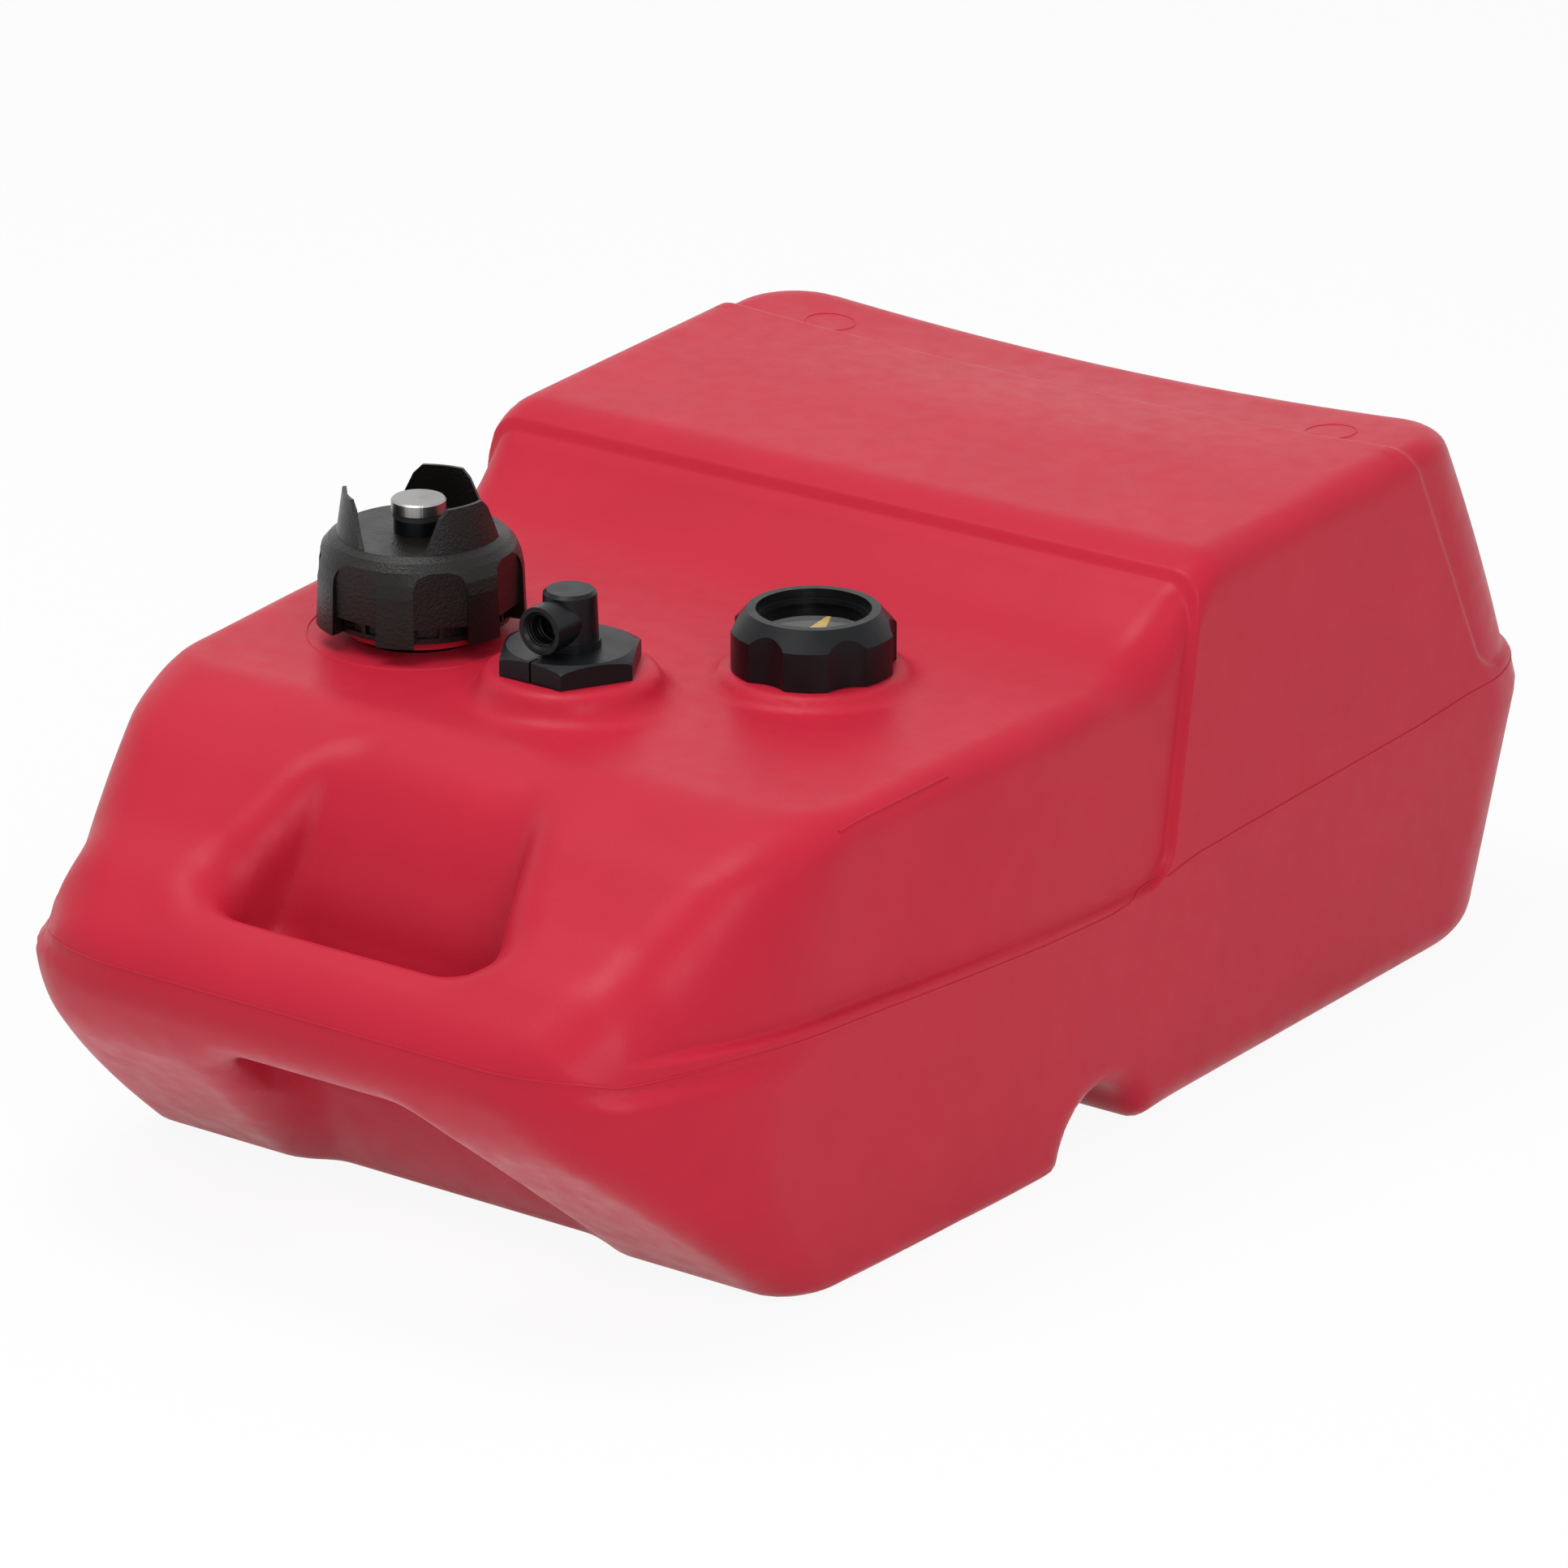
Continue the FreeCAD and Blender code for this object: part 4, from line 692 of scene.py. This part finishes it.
def tint(tree, value, first, second):
    """A colour between two, by a value from 0 to 1."""
    node = tree.nodes.new("ShaderNodeMix")
    node.data_type = "RGBA"
    node.inputs[6].default_value = (*first, 1)
    node.inputs[7].default_value = (*second, 1)
    tree.links.new(value, node.inputs[0])
    return node.outputs[2]


def bump(tree, value, depth_mm):
    """A bump whose full height is a given depth."""
    node = tree.nodes.new("ShaderNodeBump")
    node.inputs["Distance"].default_value = depth_mm / 1000
    tree.links.new(value, node.inputs["Height"])
    return node.outputs["Normal"]


def shade(colour, factor):
    """A lighter or darker form of a colour."""
    return tuple(min(1.0, part * factor) for part in colour)


def spokes(tree, where, spot):
    """Lines that run out from an upright axis, as a turned and wiped metal face shows."""
    place = tree.nodes.new("ShaderNodeVectorMath")
    place.operation = "SUBTRACT"
    place.inputs[1].default_value = (spot[0] / 1000, spot[1] / 1000, 0)
    tree.links.new(where, place.inputs[0])
    turn = tree.nodes.new("ShaderNodeTexGradient")
    turn.gradient_type = "RADIAL"
    tree.links.new(place.outputs[0], turn.inputs["Vector"])
    lines = tree.nodes.new("ShaderNodeTexNoise")
    lines.noise_dimensions = "1D"
    lines.inputs["Scale"].default_value = SPOKE_COUNT
    lines.inputs["Detail"].default_value = 3
    tree.links.new(turn.outputs["Fac"], lines.inputs["W"])
    return lines.outputs["Fac"]


def moulded(name, colour, rough, grain_mm, grain_depth, mottle=0.12, specular=0.5):
    """Moulded plastic or rubber: fine grain, a faint mottle and uneven gloss."""
    material, tree, shader, where = new_material(name)
    broad = spread(tree, noise(tree, where, MOTTLE_MM, 2.0), 0, 1)
    fine = noise(tree, where, grain_mm, 4.0, 0.6)
    tree.links.new(tint(tree, broad, shade(colour, 1 - mottle), shade(colour, 1 + mottle)),
                   shader.inputs["Base Color"])
    gloss = spread(tree, noise(tree, where, GLOSS_MM, 3.0), rough - GLOSS_LESS, rough + GLOSS_MORE)
    tree.links.new(gloss, shader.inputs["Roughness"])
    tree.links.new(bump(tree, fine, grain_depth), shader.inputs["Normal"])
    shader.inputs["Specular IOR Level"].default_value = specular
    return material


def dress(node, material):
    """Give a CAD node's object a material."""
    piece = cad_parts[node]
    piece.data.materials.clear()
    piece.data.materials.append(material)


def red_polyethylene(settings):
    """Blow-moulded polyethylene: satin, with a fine spark-eroded grain."""
    return moulded("red polyethylene", tuple(settings.colour), rough=0.38, grain_mm=0.9, grain_depth=0.05,
                   mottle=0.03, specular=0.13)


def brushed_metal(settings):
    """The vent's metal, wiped outward from its axis."""
    metal, tree, shader, where = new_material("brushed vent metal")
    fine = spokes(tree, where, FILLER)
    tree.links.new(tint(tree, fine, shade(settings.metal, 0.8), shade(settings.metal, 1.15)),
                   shader.inputs["Base Color"])
    tree.links.new(bump(tree, fine, 0.05), shader.inputs["Normal"])
    shader.inputs["Metallic"].default_value = 1.0
    shader.inputs["Roughness"].default_value = 0.34
    return metal


def clear_lens():
    """The gauge's clear window, with a faint haze."""
    clear, tree, shader, where = new_material("clear polycarbonate lens")
    haze = noise(tree, where, 2.0, 3.0)
    tree.links.new(spread(tree, haze, 0.02, 0.06), shader.inputs["Roughness"])
    shader.inputs["Transmission Weight"].default_value = 1.0
    shader.inputs["IOR"].default_value = 1.2
    return clear


# Pieces
def surface(name, cell, settings, inset=0.0):
    """A mesh of the moulded form, or of its hollow at an inset, which faces inward."""
    axes = grid_points(NET_LOW, NET_HIGH, cell)
    x, y, z = np.meshgrid(*axes, indexing="ij", sparse=True)
    points, quads = net(tank_field(x, y, z, settings) + inset, axes)
    return mesh_object(name, settle(points, settings, -inset), quads[:, ::-1] if inset else quads)


class FUELTANK_OT_skin(bpy.types.Operator):
    """Build the moulded skin of the tank and let it stand for the CAD shell"""
    bl_idname = "fueltank.skin"
    bl_label = "Tank skin"

    def execute(self, context):
        settings = context.scene.tank_settings
        skin = surface("moulded_tank", settings.cell, settings)
        for reach in STEP_REACH:
            refine(skin, settings, reach)
        skin = joined([skin, surface("hollow", HOLLOW_CELL, settings, settings.wall)])
        root = DECK - settings.wall / 2
        combine(skin, joined([cylinder(name + "_neck", outside, root, top, spot)
                              for name, (spot, outside, _, top) in NECKS.items()]), "UNION")
        combine(skin, joined([cylinder(name + "_bore", bore, BORE_LOW, BORE_HIGH, spot)
                              for name, (spot, _, bore, _) in NECKS.items()]), "DIFFERENCE")
        lines = [parting_line(settings), fill_line(settings),
                 ring_line("cap_ring", FILLER, CAP_RING_RADIUS, DECK, settings)]
        for name, spot in MARKS.items():
            lines.append(ring_line(name, spot, MARK_RADIUS, MARK_Z, settings, half_width=0.3, sides=36))
        skin = joined([skin] + lines + [neck_thread()])
        only(skin)
        bpy.ops.object.shade_smooth_by_angle(angle=math.radians(50))
        skin.data.materials.clear()
        skin.data.materials.append(red_polyethylene(settings))
        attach(skin, "tank")
        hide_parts("tank_shell")
        return {"FINISHED"}


class FUELTANK_OT_fittings(bpy.types.Operator):
    """Give the cap, the vent, the outlet and the gauge their finishes"""
    bl_idname = "fueltank.fittings"
    bl_label = "Fittings"

    def execute(self, context):
        settings = context.scene.fitting_settings
        cap = moulded("leather-grained cap plastic", tuple(settings.cap), rough=0.32, grain_mm=1.1,
                      grain_depth=0.26, mottle=0.3, specular=0.26)
        black = moulded("black nylon", tuple(settings.black), rough=0.34, grain_mm=0.8, grain_depth=0.03,
                        mottle=0.1, specular=0.2)
        rubber = moulded("seal rubber", RUBBER, rough=0.75, grain_mm=0.7, grain_depth=0.05)
        pale = moulded("natural acetal", ACETAL, rough=0.4, grain_mm=1.2, grain_depth=0.03)
        yellow = moulded("yellow pointer plastic", tuple(settings.pointer), rough=0.4, grain_mm=1.0,
                         grain_depth=0.02)
        dial = moulded("dial face", DIAL, rough=0.6, grain_mm=0.8, grain_depth=0.02, specular=0.1)
        foam = moulded("nitrile foam float", FOAM, rough=0.9, grain_mm=0.9, grain_depth=0.15)
        finishes = {
            cap: ("cap_shell", "cap_insert"),
            black: ("vent_collar", "outlet_nut", "outlet_elbow", "pickup_holder", "gauge_ring", "gauge_frame",
                    "gauge_foot"),
            rubber: ("cap_gasket", "vent_seal", "elbow_o_ring", "outlet_gasket", "gauge_gasket"),
            pale: ("pickup_tube", "pickup_strainer", "float_driver"),
            yellow: ("gauge_pointer",),
            dial: ("gauge_dial",),
            foam: ("gauge_float",),
            brushed_metal(settings): ("vent_stem", "vent_knob", "twist_strip"),
            clear_lens(): ("gauge_lens",),
        }
        for material, nodes in finishes.items():
            for node in nodes:
                dress(node, material)
        # The dark ring under the cap is partly the skirt carried down and partly a stand-in for the shade on
        # the neck there
        finish(shade_ring_in_cap(), cap, "filler_cap")
        finish(mouth_thread(), black, "outlet")
        return {"FINISHED"}


def shade_ring_in_cap():
    """A ring of the cap's dark plastic between its skirt and the neck: partly the skirt carried down, partly a
    dark sheet that stands in for the shade up under the cap, where the lit neck would show.
    """
    outside = 31.8
    inside = 27.5
    skirt = cylinder("cap_skirt_shade_ring", outside, CAP_FOOT + 0.05, CAP_FOOT + 1.95, FILLER)
    combine(skirt, cylinder("skirt_bore", inside, CAP_FOOT - 1, CAP_FOOT + 9, FILLER), "DIFFERENCE")
    return skirt


def finish(piece, material, body):
    """Dress a piece and let it ride on its body."""
    only(piece)
    bpy.ops.object.shade_smooth_by_angle(angle=math.radians(40))
    piece.data.materials.clear()
    piece.data.materials.append(material)
    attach(piece, body)


# Stage: the floor lies just under the base, and the lamps' sizes and heights are in metres
FLOOR_SIZE = 16
FLOOR_Z = -0.0004
FLOOR_WHITE = 0.92
AMBIENT = 0.55
LAMP_TARGET = (0, 0, 0.1)

# Camera: its turn round the tank and its rise, the photograph's width and the lens, both in pixels,
# and its place to the right, up and back along its own axes, in metres
CAMERA_TURN = 35.8
CAMERA_RISE = 20.8
PHOTO_PIXELS = 1932
LENS_PIXELS = 10495
SENSOR = 36
CAMERA_PLACE = (0.00104, 0.0923, 3.0707)


def lamp(name, spot, target, size, power):
    """A round soft light aimed at a point."""
    light = bpy.data.lights.new(name, "AREA")
    light.shape = "DISK"
    light.size = size
    light.energy = power
    thing = bpy.data.objects.new(name, light)
    bpy.context.scene.collection.objects.link(thing)
    thing.location = spot
    thing.rotation_euler = (Vector(target) - Vector(spot)).to_track_quat("-Z", "Y").to_euler()


def larger(tree, first, second):
    """The larger of two values."""
    node = tree.nodes.new("ShaderNodeMath")
    node.operation = "MAXIMUM"
    tree.links.new(first, node.inputs[0])
    tree.links.new(second, node.inputs[1])
    return node.outputs[0]


def white_for_camera(tree, plain, glow_type, strength):
    """A shader that camera, glossy and transmission rays see as white."""
    path = tree.nodes.new("ShaderNodeLightPath")
    glow = tree.nodes.new(glow_type)
    glow.inputs["Color"].default_value = (1, 1, 1, 1)
    glow.inputs["Strength"].default_value = 1.0
    seen = larger(tree, path.outputs["Is Camera Ray"], path.outputs["Is Glossy Ray"])
    seen = larger(tree, seen, path.outputs["Is Transmission Ray"])
    share = tree.nodes.new("ShaderNodeMath")
    share.operation = "MULTIPLY"
    share.inputs[1].default_value = strength
    tree.links.new(seen, share.inputs[0])
    mix = tree.nodes.new("ShaderNodeMixShader")
    tree.links.new(share.outputs[0], mix.inputs[0])
    tree.links.new(plain, mix.inputs[1])
    tree.links.new(glow.outputs[0], mix.inputs[2])
    return mix.outputs[0]


def studio_floor():
    """The pale floor."""
    bpy.ops.object.select_all(action="DESELECT")
    bpy.ops.mesh.primitive_plane_add(size=FLOOR_SIZE, location=(0, 0, FLOOR_Z))
    floor = bpy.context.active_object
    floor.name = "studio_floor"
    material, tree, shader, _ = new_material("pale floor")
    shader.inputs["Base Color"].default_value = (0.86, 0.86, 0.86, 1)
    shader.inputs["Roughness"].default_value = 0.9
    white = white_for_camera(tree, shader.outputs[0], "ShaderNodeEmission", FLOOR_WHITE)
    tree.links.new(white, tree.nodes["Material Output"].inputs["Surface"])
    floor.data.materials.append(material)


def studio_world(scene):
    """The soft light from all round."""
    world = bpy.data.worlds.new("studio")
    world.use_nodes = True
    scene.world = world
    tree = world.node_tree
    ambient = tree.nodes["Background"]
    ambient.inputs["Color"].default_value = (1, 1, 1, 1)
    ambient.inputs["Strength"].default_value = AMBIENT
    white = white_for_camera(tree, ambient.outputs[0], "ShaderNodeBackground", 1.0)
    tree.links.new(white, tree.nodes["World Output"].inputs["Surface"])


def photo_camera(scene):
    """The camera at the photograph's viewing angle."""
    turn = math.radians(CAMERA_TURN)
    rise = math.radians(CAMERA_RISE)
    back = Vector((math.sin(turn) * math.cos(rise), -math.cos(turn) * math.cos(rise), math.sin(rise)))
    right = Vector((math.cos(turn), math.sin(turn), 0))
    up = back.cross(right)
    camera = bpy.data.cameras.new("camera")
    camera.sensor_width = SENSOR
    camera.lens = SENSOR * LENS_PIXELS / PHOTO_PIXELS
    camera.clip_end = 50
    thing = bpy.data.objects.new("camera", camera)
    scene.collection.objects.link(thing)
    place = Matrix((right, up, back)).transposed().to_4x4()
    place.translation = right * CAMERA_PLACE[0] + up * CAMERA_PLACE[1] + back * CAMERA_PLACE[2]
    thing.matrix_world = place
    scene.camera = thing


class FUELTANK_OT_stage(bpy.types.Operator):
    """Add the pale floor, the soft studio light and the camera"""
    bl_idname = "fueltank.stage"
    bl_label = "Stage"

    def execute(self, context):
        studio_floor()
        studio_world(context.scene)
        lamp("overhead", (-0.25, -0.35, 1.7), LAMP_TARGET, 1.0, 15)
        lamp("key", (1.4, -1.1, 1.0), LAMP_TARGET, 0.9, 10)
        photo_camera(context.scene)
        context.scene.view_settings.view_transform = "Standard"
        return {"FINISHED"}


class FUELTANK_PT_panel(bpy.types.Panel):
    """Lists the tank's settings and the steps that build it"""
    bl_idname = "FUELTANK_PT_panel"
    bl_label = "Fuel tank"
    bl_space_type = "VIEW_3D"
    bl_region_type = "UI"
    bl_category = "Fuel tank"

    def draw(self, context):
        for group in (context.scene.tank_settings, context.scene.fitting_settings):
            for name in group.__annotations__:
                self.layout.prop(group, name)
        for operator in OPERATORS:
            self.layout.operator(operator.bl_idname)


OPERATORS = (FUELTANK_OT_skin, FUELTANK_OT_fittings, FUELTANK_OT_stage)
CLASSES = (TankSettings, FittingSettings) + OPERATORS + (FUELTANK_PT_panel,)


def register():
    """Make the add-on's classes and settings known."""
    for item in CLASSES:
        bpy.utils.register_class(item)
    bpy.types.Scene.tank_settings = bpy.props.PointerProperty(type=TankSettings)
    bpy.types.Scene.fitting_settings = bpy.props.PointerProperty(type=FittingSettings)


def unregister():
    """Take the add-on's classes and settings away again."""
    del bpy.types.Scene.fitting_settings
    del bpy.types.Scene.tank_settings
    for item in reversed(CLASSES):
        bpy.utils.unregister_class(item)


def main():
    """Build everything in order."""
    register()
    bpy.ops.fueltank.skin()
    bpy.ops.fueltank.fittings()
    bpy.ops.fueltank.stage()


if __name__ == "__main__":
    main()
